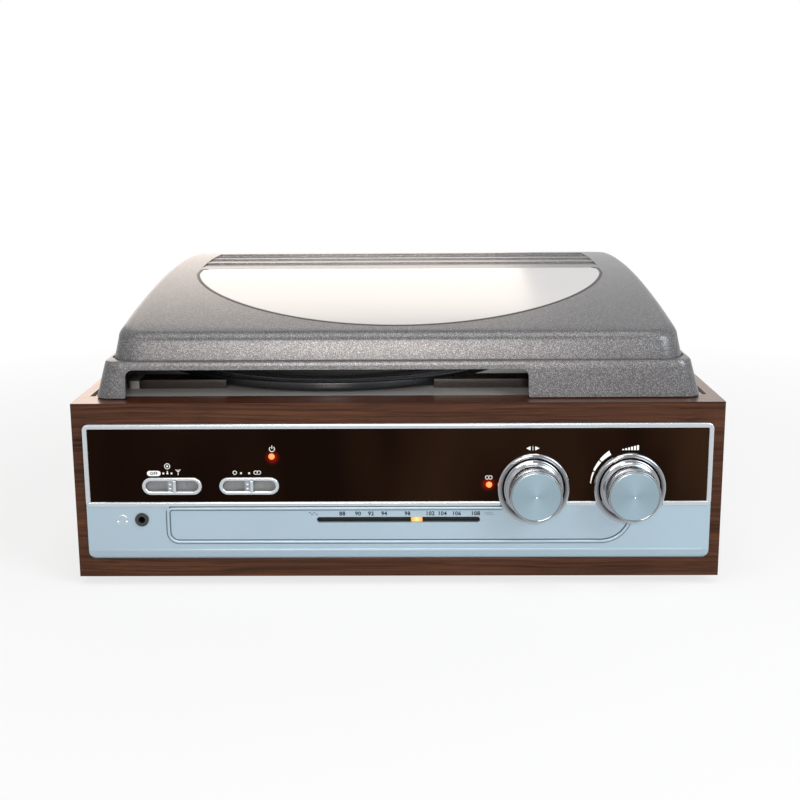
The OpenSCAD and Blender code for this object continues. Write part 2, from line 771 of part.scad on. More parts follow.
// Bezel of a front switch: a rimmed cup with a slot in its floor for the slider's stem
module switch_bezels() color("#c4ccd2") in_cabinet() for (s = front_switches) difference() {
    union() {
        upright(face_y - 0.9, face_y)
            level_slot(s[0] - bezel_w / 2, s[0] + bezel_w / 2, switch_z, bezel_h);
        upright(face_y - 0.1, bezel_depth + bezel_floor)
            level_slot(s[0] - bezel_in_w / 2 - bezel_wall, s[0] + bezel_in_w / 2 + bezel_wall,
                switch_z, bezel_in_h + 2 * bezel_wall);
    }
    upright(face_y - 2, bezel_depth)
        level_slot(s[0] - bezel_in_w / 2, s[0] + bezel_in_w / 2, switch_z, bezel_in_h);
    stem_way(s, bezel_depth + bezel_floor + over);
}

// Way that a front slider's stem moves in: s holds its rest place and its travel to the left
module stem_way(s, y1)
    block([s[0] - s[1] - stem_w / 2 - slide_gap, face_y, switch_z - stem_h / 2 - slide_gap],
        [s[0] + stem_w / 2 + slide_gap, y1, switch_z + stem_h / 2 + slide_gap]);

// Slider of a front switch, with the raised ridge along its right side
module front_slider(x) color("#9aa4ab") in_cabinet() {
    block([x - slider_w / 2, face_y - 0.6, switch_z - bezel_in_h / 2 + slide_gap],
        [x + slider_w / 2, bezel_depth - slide_gap, switch_z + bezel_in_h / 2 - slide_gap]);
    block([x + slider_w / 2 - 1.8, face_y - 1.8, switch_z - bezel_in_h / 2 + slide_gap],
        [x + slider_w / 2, face_y, switch_z + bezel_in_h / 2 - slide_gap]);
    block([x - stem_w / 2, face_y, switch_z - stem_h / 2], [x + stem_w / 2, stem_reach, switch_z + stem_h / 2]);
}
module function_slider() front_slider(function_x);
module stereo_slider() front_slider(stereo_x);

// Bodies of the slide switches: two behind the front panel, two under the deck
switch_body = [22, 8, 9];
module switch_bodies() color("#8b8f92") in_cabinet() {
    for (s = front_switches) difference() {
        block([s[0] - s[1] / 2 - switch_body[0] / 2, bezel_depth + bezel_floor, switch_z - switch_body[2] / 2],
            [s[0] - s[1] / 2 + switch_body[0] / 2, bezel_depth + bezel_floor + switch_body[1],
                switch_z + switch_body[2] / 2]);
        stem_way(s, stem_reach + slide_gap);
    }
    for (s = deck_switches) difference() {
        block([deck_switch_x - switch_body[2] / 2, s[0] + s[1] / 2 - switch_body[0] / 2, deck_low - switch_body[1]],
            [deck_switch_x + switch_body[2] / 2, s[0] + s[1] / 2 + switch_body[0] / 2, deck_low]);
        deck_stem_way(s);
    }
}

// Lamps with a round nose, and a collar behind the panel
lamp_end = 7;
lamp_collar = 0.6;
lamp_collar_t = 1;
module lamps() color("#ff4020") in_cabinet() for (at = [power_lamp_at, stereo_lamp_at]) {
    rod_y(at[0], at[1], lamp_r, face_y + 0.2, lamp_end);
    translate([at[0], face_y + 0.2, at[1]]) sphere(r = lamp_r);
    rod_y(at[0], at[1], lamp_r + lamp_collar, panel_back, panel_back + lamp_collar_t);
}

// Headphone socket: collar, barrel and body, with a blind bore
jack_barrel_r = 2.9;
jack_body = 11;
jack_collar_t = 0.9;
module headphone_socket() color("#191919") in_cabinet() difference() {
    union() {
        rod_y(jack_at[0], jack_at[1], jack_collar_r, face_y - jack_collar_t, face_y);
        rod_y(jack_at[0], jack_at[1], jack_barrel_r, face_y - 0.1, panel_back + 0.1);
        block([jack_at[0] - jack_body / 2, panel_back, jack_at[1] - jack_body / 2],
            [jack_at[0] + jack_body / 2, face_y + jack_depth + 1.2, jack_at[1] + jack_body / 2]);
    }
    rod_y(jack_at[0], jack_at[1], jack_r, face_y - jack_collar_t - over,
        face_y - jack_collar_t + jack_depth);
}

// ---------------------------------------------------------------- dial drive

// Dark plate behind the slot
module dial_plate() color("#1d1f22") in_cabinet()
    block([-dial_plate_half, dial_plate_y, dial_plate_low],
        [dial_plate_half, dial_plate_y + dial_plate_t, dial_plate_top]);

// Lit pointer: its nose stands in the slot, and its arm reaches over the plate to the cord
pointer_leg = 2;
module dial_pointer() color("#ffb040") in_cabinet() {
    block([pointer_x - pointer_w / 2, face_y + 0.4, slot_z - slot_h / 2 + slide_gap],
        [pointer_x + pointer_w / 2, dial_plate_y - slide_gap, slot_z + slot_h / 2 - slide_gap]);
    block([pointer_x - pointer_leg, panel_back + slide_gap, slot_z],
        [pointer_x + pointer_leg, dial_plate_y - slide_gap, pointer_top]);
    block([pointer_x - pointer_leg, panel_back + slide_gap, pointer_top - 1.2],
        [pointer_x + pointer_leg, cord_y + 1, pointer_top]);
}

// Peg that the cord runs round at the left, on a stud from the circuit board
guide_z = knob_z + cord_shaft_r - guide_r;
module cord_guide() color("#d8d4c8") in_cabinet() {
    rod_y(guide_x, guide_z, guide_r, cord_y - drum_core_w / 2, cord_y + drum_core_w / 2);
    for (y = [cord_y - drum_core_w / 2 - drum_flange_t, cord_y + drum_core_w / 2])
        rod_y(guide_x, guide_z, guide_r + drum_flange_h, y, y + drum_flange_t);
    rod_y(guide_x, guide_z, 2, cord_y, board_y);
}

// Dial cord round the shaft's groove, the drum and the peg
module cord_outline(grow) hull() {
    translate([tuning_x, knob_z]) circle(r = cord_shaft_r + slide_gap + grow);
    translate([drum_x, drum_z]) circle(r = drum_r + slide_gap + grow);
    translate([guide_x, guide_z]) circle(r = guide_r + slide_gap + grow);
}
module dial_cord() color("#d9d2bd") in_cabinet() upright(cord_y - cord_t / 2, cord_y + cord_t / 2)
    difference() {
        cord_outline(cord_t);
        cord_outline(0);
    }

// Flanged drum on the capacitor's spindle, lightened by three windows
drum_window_r = 7;
module dial_drum() color("#e4e0d2") in_cabinet() {
    difference() {
        union() {
            rod_y(drum_x, drum_z, drum_r, cord_y - drum_core_w / 2, cord_y + drum_core_w / 2);
            for (y = [cord_y - drum_core_w / 2 - drum_flange_t, cord_y + drum_core_w / 2])
                rod_y(drum_x, drum_z, drum_r + drum_flange_h, y, y + drum_flange_t);
        }
        for (a = [90, 210, 330])
            rod_y(drum_x + 12 * cos(a), drum_z + 12 * sin(a), drum_window_r - 1, cord_y - 5, cord_y + 5);
    }
    rod_y(drum_x, drum_z, shaft_r, cord_y + drum_core_w / 2, board_y - 2 - slide_gap);
}

// Tuning capacitor on the circuit board, with the bore that its spindle turns in
capacitor_half = 12;
capacitor_y = cord_y + drum_core_w / 2 + drum_flange_t + 1;
module tuning_capacitor() color("#cfd6d2") in_cabinet() difference() {
    block([drum_x - capacitor_half, capacitor_y, drum_z - capacitor_half],
        [drum_x + capacitor_half, board_y, drum_z + capacitor_half]);
    rod_y(drum_x, drum_z, shaft_r + turn_gap, capacitor_y - over, board_y - 2);
}

// ---------------------------------------------------------------- inside the cabinet

// Circuit board standing on the base, with its tall capacitors and a heat sink behind it
board_side = 37.5;
board_half = cab_w / 2 - board_side;
board_top = 78;
board_t = 1.6;
can_r = 5;
can_h = 12;
can_z = 24;
can_xs = [-90, -70, 40, 58, 76];
heat_sink_x = -3;
heat_sink_w = 34;
heat_sink_d = 10;
heat_sink_low = 16;
heat_sink_h = 24;
module circuit_board() color("#2f6b46") in_cabinet() {
    board_back = board_y + board_t;
    block([-board_half, board_y, base_t], [board_half, board_back, board_top]);
    for (x = can_xs) rod_y(x, can_z, can_r, board_back, board_back + can_h);
    block([heat_sink_x - heat_sink_w / 2, board_back, heat_sink_low],
        [heat_sink_x + heat_sink_w / 2, board_back + heat_sink_d, heat_sink_low + heat_sink_h]);
}

// Mains transformer: its core with the winding showing at front and rear, on a foot plate
transformer_side = 59.5;
transformer_rear = 49;
core_w = 50;
core_d = 28;
core_h = 40;
winding_w = 28;
winding_d = 42;
winding_h = 30;
foot_plate_w = 64;
foot_plate_t = 4;
module transformer() color("#6d6a62") in_cabinet()
    translate([-cab_w / 2 + transformer_side, cab_d - transformer_rear, base_t]) {
        block([-core_w / 2, -core_d / 2, foot_plate_t], [core_w / 2, core_d / 2, foot_plate_t + core_h]);
        block([-winding_w / 2, -winding_d / 2, foot_plate_t + (core_h - winding_h) / 2],
            [winding_w / 2, winding_d / 2, foot_plate_t + (core_h + winding_h) / 2]);
        block([-foot_plate_w / 2, -core_d / 2, 0], [foot_plate_w / 2, core_d / 2, foot_plate_t]);
    }

// Loudspeakers on the side boards: frame, cone and magnet
module speakers() color("#3b3b3d") in_cabinet() for (side = [-1, 1])
    translate([side * side_in, speaker_y, speaker_z]) rotate([0, -side * 90, 0]) rotate_extrude()
        polygon([
            [speaker_r, 0], [speaker_r, 2.5], [speaker_r - 3, 2.5], [16, 15], [17, 15],
            [17, speaker_d], [0, speaker_d], [0, 8], [8, 9.5], [speaker_r - 5, 1],
            [speaker_r - 5, 0]
        ]);

// Line-out sockets: collar, outer contact and blind bore
module line_out_sockets() color("#c8c8c8") in_cabinet() for (x = socket_xs) difference() {
    union() {
        rod_y(x, socket_z, socket_r, rear_in - 4, cab_d + socket_reach);
        rod_y(x, socket_z, socket_r + 2, cab_d, cab_d + 1.5);
    }
    rod_y(x, socket_z, 1.65, cab_d, cab_d + socket_reach + over);
}

// Gland for the mains lead: flange, barrel through the rear panel and tapered nose
gland_flange = 2;
gland_nose = 6.5;
module lead_gland() color("#161616") in_cabinet() difference() {
    union() {
        rod_y(gland_x, gland_z, gland_r, rear_in - 3, cab_d + 0.1);
        rod_y(gland_x, gland_z, gland_r + 2, cab_d, cab_d + gland_flange);
        translate([gland_x, cab_d + gland_flange, gland_z]) rotate([-90, 0, 0])
            cylinder(r1 = gland_r + 0.6, r2 = gland_r - 0.8, h = gland_nose);
    }
    rod_y(gland_x, gland_z, lead_r + 0.1, rear_in - 3 - over, cab_d + gland_flange + gland_nose + over);
}

// ---------------------------------------------------------------- deck

// Deck moulding: a ledge that the lid stands round, a raised part with the platter's well, a
// deeper pan for the belt drive, and the recess for the adaptor
module deck_plate() color("#b9b4ac") in_cabinet() difference() {
    union() {
        block([-deck_half, frame_d + set_gap, deck_low], [deck_half, rear_in - set_gap, deck_z]);
        block([-side_in + set_gap, frame_d + set_gap, deck_low],
            [side_in - set_gap, rear_in - set_gap, deck_low + 1]);
        linear_extrude_at(deck_z - 0.1, rise_z)
            round_rect(-rise_half, control_x - set_gap, rise_y + trim_t, rise_back, 2);
        rod_z(spin_x, spin_y, pan_r + deck_t, pan_low, deck_z);
    }
    difference() {
        block([-rise_half + rise_wall, rise_y + trim_t + rise_wall, deck_low - over],
            [control_x - set_gap - rise_wall, rise_back - rise_wall, rise_z - deck_t]);
        rod_z(spin_x, spin_y, well_r + deck_t, 0, rise_z);
        rod_z(adaptor_at[0], adaptor_at[1], adaptor_r + deck_t, 0, rise_z);
    }
    rod_z(spin_x, spin_y, well_r, deck_z, rise_z + over);
    rod_z(spin_x, spin_y, pan_r, well_floor, rise_z + over);
    rod_z(spin_x, spin_y, bearing_r + set_gap, pan_low - over, rise_z);
    rod_z(pulley_x, pulley_y, 2.5, pan_low - over, rise_z);
    rod_z(adaptor_at[0], adaptor_at[1], adaptor_r + slide_gap, adaptor_z, rise_z + over);
    rod_z(arm_x, arm_y, arm_tube_r + set_gap, deck_low - over, rise_z);
    rod_z(cue_x, cue_y, cue_guide_r + set_gap, deck_low - over, rise_z);
    for (s = deck_switches) deck_stem_way(s);
}

// Level plate between two heights, from an outline in X and Y
module linear_extrude_at(z0, z1) translate([0, 0, z0]) linear_extrude(z1 - z0) children();

// Dark trim along the front of the raised part, cut by the platter's well
module deck_trim() color("#211d1b") in_cabinet() difference() {
    union() {
        block([trim_x0, rise_y, deck_z], [control_x - set_gap, rise_y + trim_t, rise_z + trim_t]);
        block([trim_x0, rise_y, rise_z], [control_x - set_gap, rise_y + trim_d, rise_z + trim_t]);
    }
    rod_z(spin_x, spin_y, well_r, deck_z - over, rise_z + 2 * over);
}

// Light control deck at the right, under the tonearm
module control_deck() color("#c9c6bf") in_cabinet() difference() {
    linear_extrude_at(deck_z, control_z) round_rect(control_x, rise_half, rise_y, rise_back, 2);
    rod_z(arm_x, arm_y, arm_tube_r + set_gap, deck_z - over, control_z + over);
    rod_z(cue_x, cue_y, cue_guide_r + set_gap, deck_z - over, control_z + over);
    for (s = deck_switches) deck_stem_way(s);
}

// Way that a deck slider's stem moves in: s holds its rest place and its travel to the rear
module deck_stem_way(s)
    block([deck_switch_x - stem_w / 2 - slide_gap, s[0] - stem_h / 2 - slide_gap, deck_low - 5],
        [deck_switch_x + stem_w / 2 + slide_gap, s[0] + s[1] + stem_h / 2 + slide_gap, control_z + over]);

// Cap and stem of a deck slider
module deck_slider(y) color("#26272a") in_cabinet() {
    block([deck_switch_x - cap_w / 2, y - cap_l / 2, control_z + slide_gap],
        [deck_switch_x + cap_w / 2, y + cap_l / 2, control_z + slide_gap + cap_t]);
    block([deck_switch_x - cap_w / 2, y - cap_l / 6, control_z + slide_gap],
        [deck_switch_x + cap_w / 2, y + cap_l / 6, control_z + slide_gap + cap_ridge]);
    block([deck_switch_x - stem_w / 2, y - stem_h / 2, deck_low - 5 + slide_gap],
        [deck_switch_x + stem_w / 2, y + stem_h / 2, control_z + 1]);
}
module speed_slider() deck_slider(speed_y);
module stop_slider() deck_slider(stop_y);

// Loose adaptor for records with a wide hole
module adaptor_45() color("#2c2d30") in_cabinet() difference() {
    adaptor_top = adaptor_z + adaptor_t + adaptor_slope;
    union() {
        rod_z(adaptor_at[0], adaptor_at[1], adaptor_r, adaptor_z, adaptor_z + adaptor_t);
        translate([adaptor_at[0], adaptor_at[1], adaptor_z + adaptor_t])
            cylinder(r1 = adaptor_r, r2 = adaptor_r - adaptor_slope, h = adaptor_slope);
    }
    rod_z(adaptor_at[0], adaptor_at[1], spindle_r + 0.2, adaptor_z - over, adaptor_top + over);
    for (a = [0, 120, 240])
        rod_z(adaptor_at[0] + adaptor_hole_l * cos(a), adaptor_at[1] + adaptor_hole_l * sin(a),
            adaptor_hole_r, adaptor_z - over, adaptor_top + over);
}

// ---------------------------------------------------------------- platter and its drive

// Platter: disc, outer rim with a rounded edge, inner rim for the belt, and hub
module platter() color("#17181a") in_cabinet() translate([spin_x, spin_y, 0]) rotate_extrude($fn = 128)
    polygon(concat(
        [
            [spindle_neck_r + 0.01, hub_low], [hub_r, hub_low], [hub_r, disc_low],
            [drive_r - 3, disc_low], [drive_r - 3, drive_low], [drive_r, drive_low],
            [drive_r, disc_low], [platter_r - 2.5, disc_low], [platter_r - 2.5, rim_low],
            [platter_r - 0.6, rim_low]
        ],
        arc(platter_r - 1.2, rim_top - 1.2, 1.2, 0, 90, 5),
        [[spindle_neck_r + 0.01, rim_top]]
    ));

// Rubber mat with raised rings
mat_rings = 5;
module platter_mat() color("#0d0d0e") in_cabinet() difference() {
    rod_z(spin_x, spin_y, mat_r, rim_top, mat_top);
    rod_z(spin_x, spin_y, spindle_r + 0.3, rim_top - over, mat_top + over);
    for (i = [1 : mat_rings]) translate([spin_x, spin_y, mat_top - 0.5]) rotate_extrude()
        translate([mat_r * i / (mat_rings + 1), 0]) square([6, 1]);
}

// Spindle: a pin with a rounded tip over the mat, a neck in the hub and a shaft in the bearing
module spindle() color("#d8dadc") in_cabinet() {
    rod_z(spin_x, spin_y, spindle_r, mat_top + 0.2, mat_top + spindle_h - spindle_r);
    rod_z(spin_x, spin_y, spindle_neck_r, hub_low, mat_top + 0.3);
    translate([spin_x, spin_y, mat_top + spindle_h - spindle_r]) difference() {
        sphere(r = spindle_r);
        translate([0, 0, -spindle_r]) cube(2 * spindle_r, center = true);
    }
    rod_z(spin_x, spin_y, axle_r, bearing_floor + slide_gap, hub_low);
}

// Bearing under the pan, closed at its foot
bearing_floor = pan_low - bearing_h + 2;
module platter_bearing() color("#b59a4c") in_cabinet() difference() {
    union() {
        rod_z(spin_x, spin_y, bearing_r, pan_low - bearing_h, well_floor);
        rod_z(spin_x, spin_y, bearing_r + 4, well_floor, hub_low - slide_gap);
    }
    rod_z(spin_x, spin_y, axle_r + turn_gap, bearing_floor, hub_low + over);
}

// Flat belt round the inner rim and the pulley
module belt_outline(grow) hull() {
    translate([spin_x, spin_y]) circle(r = drive_r + slide_gap + grow, $fn = 128);
    translate([pulley_x, pulley_y]) circle(r = pulley_r + slide_gap + grow, $fn = hull_fn);
}
module drive_belt() color("#141414") in_cabinet() linear_extrude_at(belt_z, belt_z + belt_w) difference() {
    belt_outline(belt_t);
    belt_outline(0);
}

// Motor under the pan
module motor() color("#a6a9ab") in_cabinet() difference() {
    rod_z(pulley_x, pulley_y, motor_r, pan_low - motor_h, pan_low);
    rod_z(pulley_x, pulley_y, motor_shaft_r + turn_gap, pan_low - motor_h + 4, pan_low + over);
}

// Flanged pulley on the motor's shaft
module motor_pulley() color("#c9b26a") in_cabinet() {
    rod_z(pulley_x, pulley_y, pulley_r, belt_z - slide_gap, belt_z + belt_w + slide_gap);
    for (z = [belt_z - slide_gap - pulley_flange_t, belt_z + belt_w + slide_gap])
        rod_z(pulley_x, pulley_y, pulley_r + 1.3, z, z + pulley_flange_t);
    rod_z(pulley_x, pulley_y, motor_shaft_r, pan_low - motor_h + 4 + slide_gap, belt_z);
}

// ---------------------------------------------------------------- tonearm

// Base plate with the turret's tube, the cue bar's guide and the ears of the cue lever
arm_tube_r = 8;
arm_tube_l = 10;
arm_tube_low = deck_low - arm_tube_l;
lever_base_r = 6.5;
module tonearm_base() color("#2b2c2f") in_cabinet() difference() {
    union() {
        linear_extrude_at(control_z, arm_base_z) hull() {
            translate([arm_x, arm_y]) circle(r = arm_base_r, $fn = hull_fn * 2);
            translate([cue_x, cue_y]) circle(r = cue_guide_r + 2, $fn = hull_fn);
            translate([lever_x - 1, lever_y]) circle(r = lever_base_r, $fn = hull_fn);
        }
        rod_z(arm_x, arm_y, arm_tube_r, arm_tube_low, control_z + 1);
        rod_z(cue_x, cue_y, cue_guide_r, arm_tube_low, control_z + 1);
        for (x = [lever_x - lever_ear_out, lever_x + lever_ear_in])
            cue_ear(x);
        rod_x(lever_y, lever_z, pivot_pin_r, lever_x - lever_ear_out, lever_x + lever_ear_out);
    }
    rod_z(arm_x, arm_y, turret_post_r + turn_gap, arm_tube_low + 2, arm_base_z + over);
    rod_z(cue_x, cue_y, cue_stem_r + turn_gap, arm_tube_low - over, arm_base_z + over);
}
lever_ear_in = 2.5;
lever_ear_out = 4.5;
module cue_ear(x) {
    rod_x(lever_y, lever_z, lever_r - 0.5, x, x + lever_ear_out - lever_ear_in);
    block([x, lever_y - lever_r + 0.5, arm_base_z - 0.5],
        [x + lever_ear_out - lever_ear_in, lever_y + lever_r - 0.5, lever_z]);
}

// Turret: post, platform and the fork that holds the arm's pivot pins
fork_half = pivot_block_w / 2 + slide_gap;
fork_r = 5;
turret_r = 13;
turret_plate_z = turret_z + 2;
module tonearm_turret() color("#9b9fa3") in_cabinet() translate([arm_x, arm_y, 0]) difference() {
    union() {
        rod_z(0, 0, turret_post_r, arm_tube_low + 2 + slide_gap, turret_z + 1);
        rod_z(0, 0, turret_r, turret_z, turret_plate_z);
        for (x = [-fork_half - cheek_t, fork_half]) {
            block([x, -fork_r, turret_plate_z - 0.5], [x + cheek_t, fork_r, arm_z]);
            rod_x(0, arm_z, fork_r, x, x + cheek_t);
        }
    }
    rod_x(0, arm_z, pivot_pin_r + turn_gap, -turret_r - over, turret_r + over);
}

// Arm: pivot block with its pins, tube, counterweight and headshell
pivot_block_l = 12;
pivot_block_h = 8;
weight_stub_r = 2;
weight_stub_l = 4;
weight_r = 5.5;
weight_l = 14;
headshell_t = 3;
headshell_tip_r = 6;
headshell_mid_r = 7.5;
headshell_end_r = 4;
finger_w = 3.7;
finger_l = 4;
module tonearm() color("#c4c7ca") in_cabinet() translate([arm_x, 0, 0]) {
    block_end = pivot_block_l / 2;
    block([-pivot_block_w / 2, arm_y - block_end, arm_z - pivot_block_h / 2],
        [pivot_block_w / 2, arm_y + block_end, arm_z + pivot_block_h / 2]);
    rod_x(arm_y, arm_z, pivot_pin_r, -fork_half - cheek_t, fork_half + cheek_t);
    rod_y(0, arm_z, arm_r, stylus_y + headshell_l / 2, arm_y - block_end + 0.1);
    rod_y(0, arm_z, weight_stub_r, arm_y + block_end - 0.1, arm_y + block_end + weight_stub_l);
    rod_y(0, arm_z, weight_r, arm_y + block_end + weight_stub_l / 2,
        arm_y + block_end + weight_stub_l / 2 + weight_l);
    linear_extrude_at(headshell_z, headshell_z + headshell_t) hull() {
        translate([0, stylus_y - 4]) circle(r = headshell_tip_r, $fn = hull_fn);
        translate([0, stylus_y + 8]) circle(r = headshell_mid_r, $fn = hull_fn);
        translate([0, stylus_y + headshell_l]) circle(r = headshell_end_r, $fn = hull_fn);
    }
    block([headshell_mid_r - 0.7, stylus_y + finger_l / 2, headshell_z + 0.5],
        [headshell_mid_r - 0.7 + finger_w, stylus_y + 1.5 * finger_l, headshell_z + headshell_t - 0.5]);
}

// Cartridge under the headshell, stepped towards the stylus
module cartridge() color("#222327") in_cabinet() translate([arm_x, stylus_y, 0]) {
    block([-5, -5, cartridge_z + 2], [5, 12, headshell_z]);
    block([-3.5, -4, cartridge_z], [3.5, 6, cartridge_z + 2.5]);
}

// Stylus with its coloured holder
module stylus() color("#c23a2e") in_cabinet() translate([arm_x, stylus_y, 0]) {
    translate([0, 0, stylus_z]) cylinder(r1 = 0.3, r2 = 0.8, h = 1.1);
    block([-0.8, -5, stylus_z + 1], [0.8, 1, cartridge_z]);
    block([-3, -6.5, stylus_z + 1], [3, -4, cartridge_z + 2]);
}

// Arm rest: post with a shelf, and a lip at its outer side
rest_y = rest_front;
module arm_rest() color("#2b2c2f") in_cabinet() translate([arm_x, rest_y, 0]) {
    rod_z(0, 0, 3.5, control_z, arm_low - 1);
    rod_z(0, 0, 6, control_z, control_z + 1.5);
    block([-5, -3, arm_low - 2], [arm_r + slide_gap + 2, 3, arm_low]);
    block([arm_r + slide_gap, -3, arm_low - 1], [arm_r + slide_gap + 2, 3, arm_z + 1]);
}

// Cue lever: hub on its pin, arm and a round grip
module cue_lever() color("#3a3b3e") in_cabinet() difference() {
    union() {
        rod_x(lever_y, lever_z, lever_r, lever_x - lever_ear_in + slide_gap, lever_x + lever_ear_in - slide_gap);
        block([lever_x - 1.6, lever_y - cue_lever_l, lever_z - 1.2], [lever_x + 1.6, lever_y, lever_z + 1.2]);
        rod_x(lever_y - cue_lever_l, lever_z, 2.2, lever_x - 3, lever_x + 3);
    }
    rod_x(lever_y, lever_z, pivot_pin_r + turn_gap, lever_x - 10, lever_x + 10);
}

// Cue bar: an arc under the arm on a guided stem
module cue_bar() color("#8f9296") in_cabinet() {
    translate([arm_x, arm_y, arm_low - 2.5]) rotate_extrude(start = 224, angle = 52)
        translate([cue_bar_l - 1.5, 0]) square([3, 2.5]);
    rod_z(cue_x, cue_y, cue_stem_r, arm_tube_low - 2, arm_low - 2);
}

// ---------------------------------------------------------------- lid

// Height of the dome's arched top at a distance y from the front
function arch_z(y) = crown_z - dome_arc_r + sqrt(pow(dome_arc_r, 2) - pow(y - crown_y, 2));

// The dome is a loft of rings. Along a ring, stations run from the front to the rear: a quarter
// turn round the front corner, a straight stretch and a quarter turn round the rear corner.
corner_steps = 5;
straight_steps = 22;
stations = 2 * corner_steps + straight_steps;
edge_steps = 5;
rings = edge_steps + 2;

// Distance of station j from the ring's front y0, for a ring that ends at y1
function station_y(j, y0, y1, r) =
    j <= corner_steps ? y0 + r * (1 - cos(90 * j / corner_steps))
    : j <= corner_steps + straight_steps
        ? y0 + r + (y1 - y0 - 2 * r) * (j - corner_steps) / straight_steps
        : y1 - r * (1 - cos(90 * (stations - j) / corner_steps));

// How far the corner draws the ring in at station j
function corner_in(j, r) =
    j < corner_steps ? r * (1 - sin(90 * j / corner_steps))
    : j > corner_steps + straight_steps ? r * (1 - sin(90 * (stations - j) / corner_steps))
    : 0;

// Ring k: 0 is the foot at height low, 1 is where the rounded edge starts, and the last one is
// where it runs into the arched top. Each point is [half width, y, z].
function ring_point(k, j, inset, low) =
    let (r = max(dome_corner_r - inset, 2))
    let (e = max(dome_edge_r - inset, 1))
    let (turn = k == 0 ? 0 : 90 * (k - 1) / edge_steps)
    let (front_h = (k == 0 ? low : arch_z(dome_y0 + 4) - inset - e) - skirt_z)
    let (rear_h = (k == 0 ? low : arch_z(dome_y1 - 4) - inset - e) - skirt_z)
    let (y0 = dome_y0 + inset + front_lean * front_h + e * (1 - cos(turn)))
    let (y1 = dome_y1 - inset - side_lean * rear_h - e * (1 - cos(turn)))
    let (y = station_y(j, y0, y1, r))
    let (top = arch_z(y) - inset)
    let (h = (k == 0 ? low : top - e) - skirt_z)
    [
        foot_half - inset - side_lean * h - e * (1 - cos(turn)) - corner_in(j, r), y,
        k == 0 ? low : top - e * (1 - sin(turn))
    ];

// Closed loft of the dome, drawn in by inset on every side, from height low up
module dome(inset, low) {
    loop = 2 * rings;
    points = [for (j = [0 : stations], k = [0 : loop - 1])
        let (p = ring_point(k < rings ? k : loop - 1 - k, j, inset, low))
        k < rings ? [-p[0], p[1], p[2]] : p];
    skin = [for (j = [0 : stations - 1], k = [0 : loop - 1])
        let (n = (k + 1) % loop)
        each [[j * loop + k, (j + 1) * loop + k, (j + 1) * loop + n],
            [j * loop + k, (j + 1) * loop + n, j * loop + n]]];
    ends = [for (k = [0 : rings - 2])
        let (a = stations * loop)
        each [[k, k + 1, loop - 2 - k], [k, loop - 2 - k, loop - 1 - k],
            [a + k + 1, a + k, a + loop - 1 - k], [a + k + 1, a + loop - 1 - k, a + loop - 2 - k]]];
    polyhedron(points, concat(skin, ends));
}

// Skirt of the lid: a leaning box with rounded corners, drawn in by inset
module skirt(inset, z0, z1) {
    r = max(skirt_corner_r - inset, 2);
    hull() for (level = [[z0, 0], [z1, 1]], x = [-1, 1]) {
        half = lid_half - inset - level[1] * skirt_lean - r;
        translate([x * half, lid_front + inset + level[1] * skirt_front_lean + r, level[0] - level[1] * 0.01])
            cylinder(r = r, h = 0.01, $fn = hull_fn);
        translate([x * half, lid_back - inset - r, level[0] - level[1] * 0.01])
            cylinder(r = r, h = 0.01, $fn = hull_fn);
    }
}

// Half-moon outline of the window, drawn in by inset, with blunted tips
module window_outline(inset) intersection() {
    translate([0, window_y]) circle(r = window_r - inset, $fn = 160);
    round_rect(-window_r + 1 + inset, window_r - 1 - inset, window_y - window_r - 10,
        window_y - inset, 3);
}

// Slice of the arched top between two depths below it
module arch_slice(d0, d1) translate([0, crown_y, crown_z - dome_arc_r]) rotate([0, 90, 0])
    translate([0, 0, -window_r - 5]) rotate_extrude(start = 174, angle = 21, $fn = 720)
        translate([dome_arc_r - d1, 0]) square([d1 - d0, 2 * window_r + 10]);

rib_half = window_r;
rib_first = 5;
rib_pitch = (lid_back - rib_rear - window_y - rib_first) / rib_count;

// Stepped ribs behind the window: each falls to the rear and ends at the next one's riser
module rib_cuts() for (i = [0 : rib_count - 1]) {
    y0 = window_y + rib_first + i * rib_pitch;
    y1 = y0 + rib_pitch;
    translate([-rib_half, 0, 0]) rotate([90, 0, 90]) linear_extrude(2 * rib_half) polygon([
        [y0, arch_z(y0)], [y1, arch_z(y1) - rib_step], [y1, lid_top_z], [y0, lid_top_z]
    ]);
}

// Gap in the front wall, with rounded upper corners and eased lower ones
module gap_outline() {
    round_rect(gap_x0, gap_x1, lid_z - 20, lid_z + gap_h, gap_r);
    for (side = [[gap_x0, -1], [gap_x1, 1]]) translate([side[0], lid_z]) difference() {
        translate([side[1] > 0 ? -1 : -gap_ease, -1]) square([gap_ease + 1, gap_ease + 1]);
        translate([side[1] * gap_ease, gap_ease]) circle(r = gap_ease);
    }
}
gap_ease = 2.5;

// Smoked lid: skirt, ledge with its groove, arched dome, window seat, ribs and the front gap
module lid_shell() color("#8c857f") in_cabinet() difference() {
    union() {
        dome(0, skirt_z - over);
        skirt(0, lid_z, skirt_z);
    }
    dome(lid_wall, skirt_z - lid_wall - 0.5);
    skirt(lid_wall, lid_z - 0.01, skirt_z - lid_wall);
    upright(lid_front - over, lid_front + skirt_front_lean + lid_wall + 2) gap_outline();
    linear_extrude_at(skirt_z - ledge_groove, skirt_z + 0.5) difference() {
        round_rect(-foot_half - 1.2, foot_half + 1.2, dome_y0 - 1.2, dome_y1 + 1.2, dome_corner_r + 1.2);
        round_rect(-foot_half + 0.1, foot_half - 0.1, dome_y0 + 0.1, dome_y1 - 0.1, dome_corner_r);
    }
    intersection() {
        arch_slice(-over, window_t);
        linear_extrude_at(skirt_z, lid_top_z + over) window_outline(0);
    }
    linear_extrude_at(skirt_z, lid_top_z + over) window_outline(window_lip);
    rib_cuts();
}

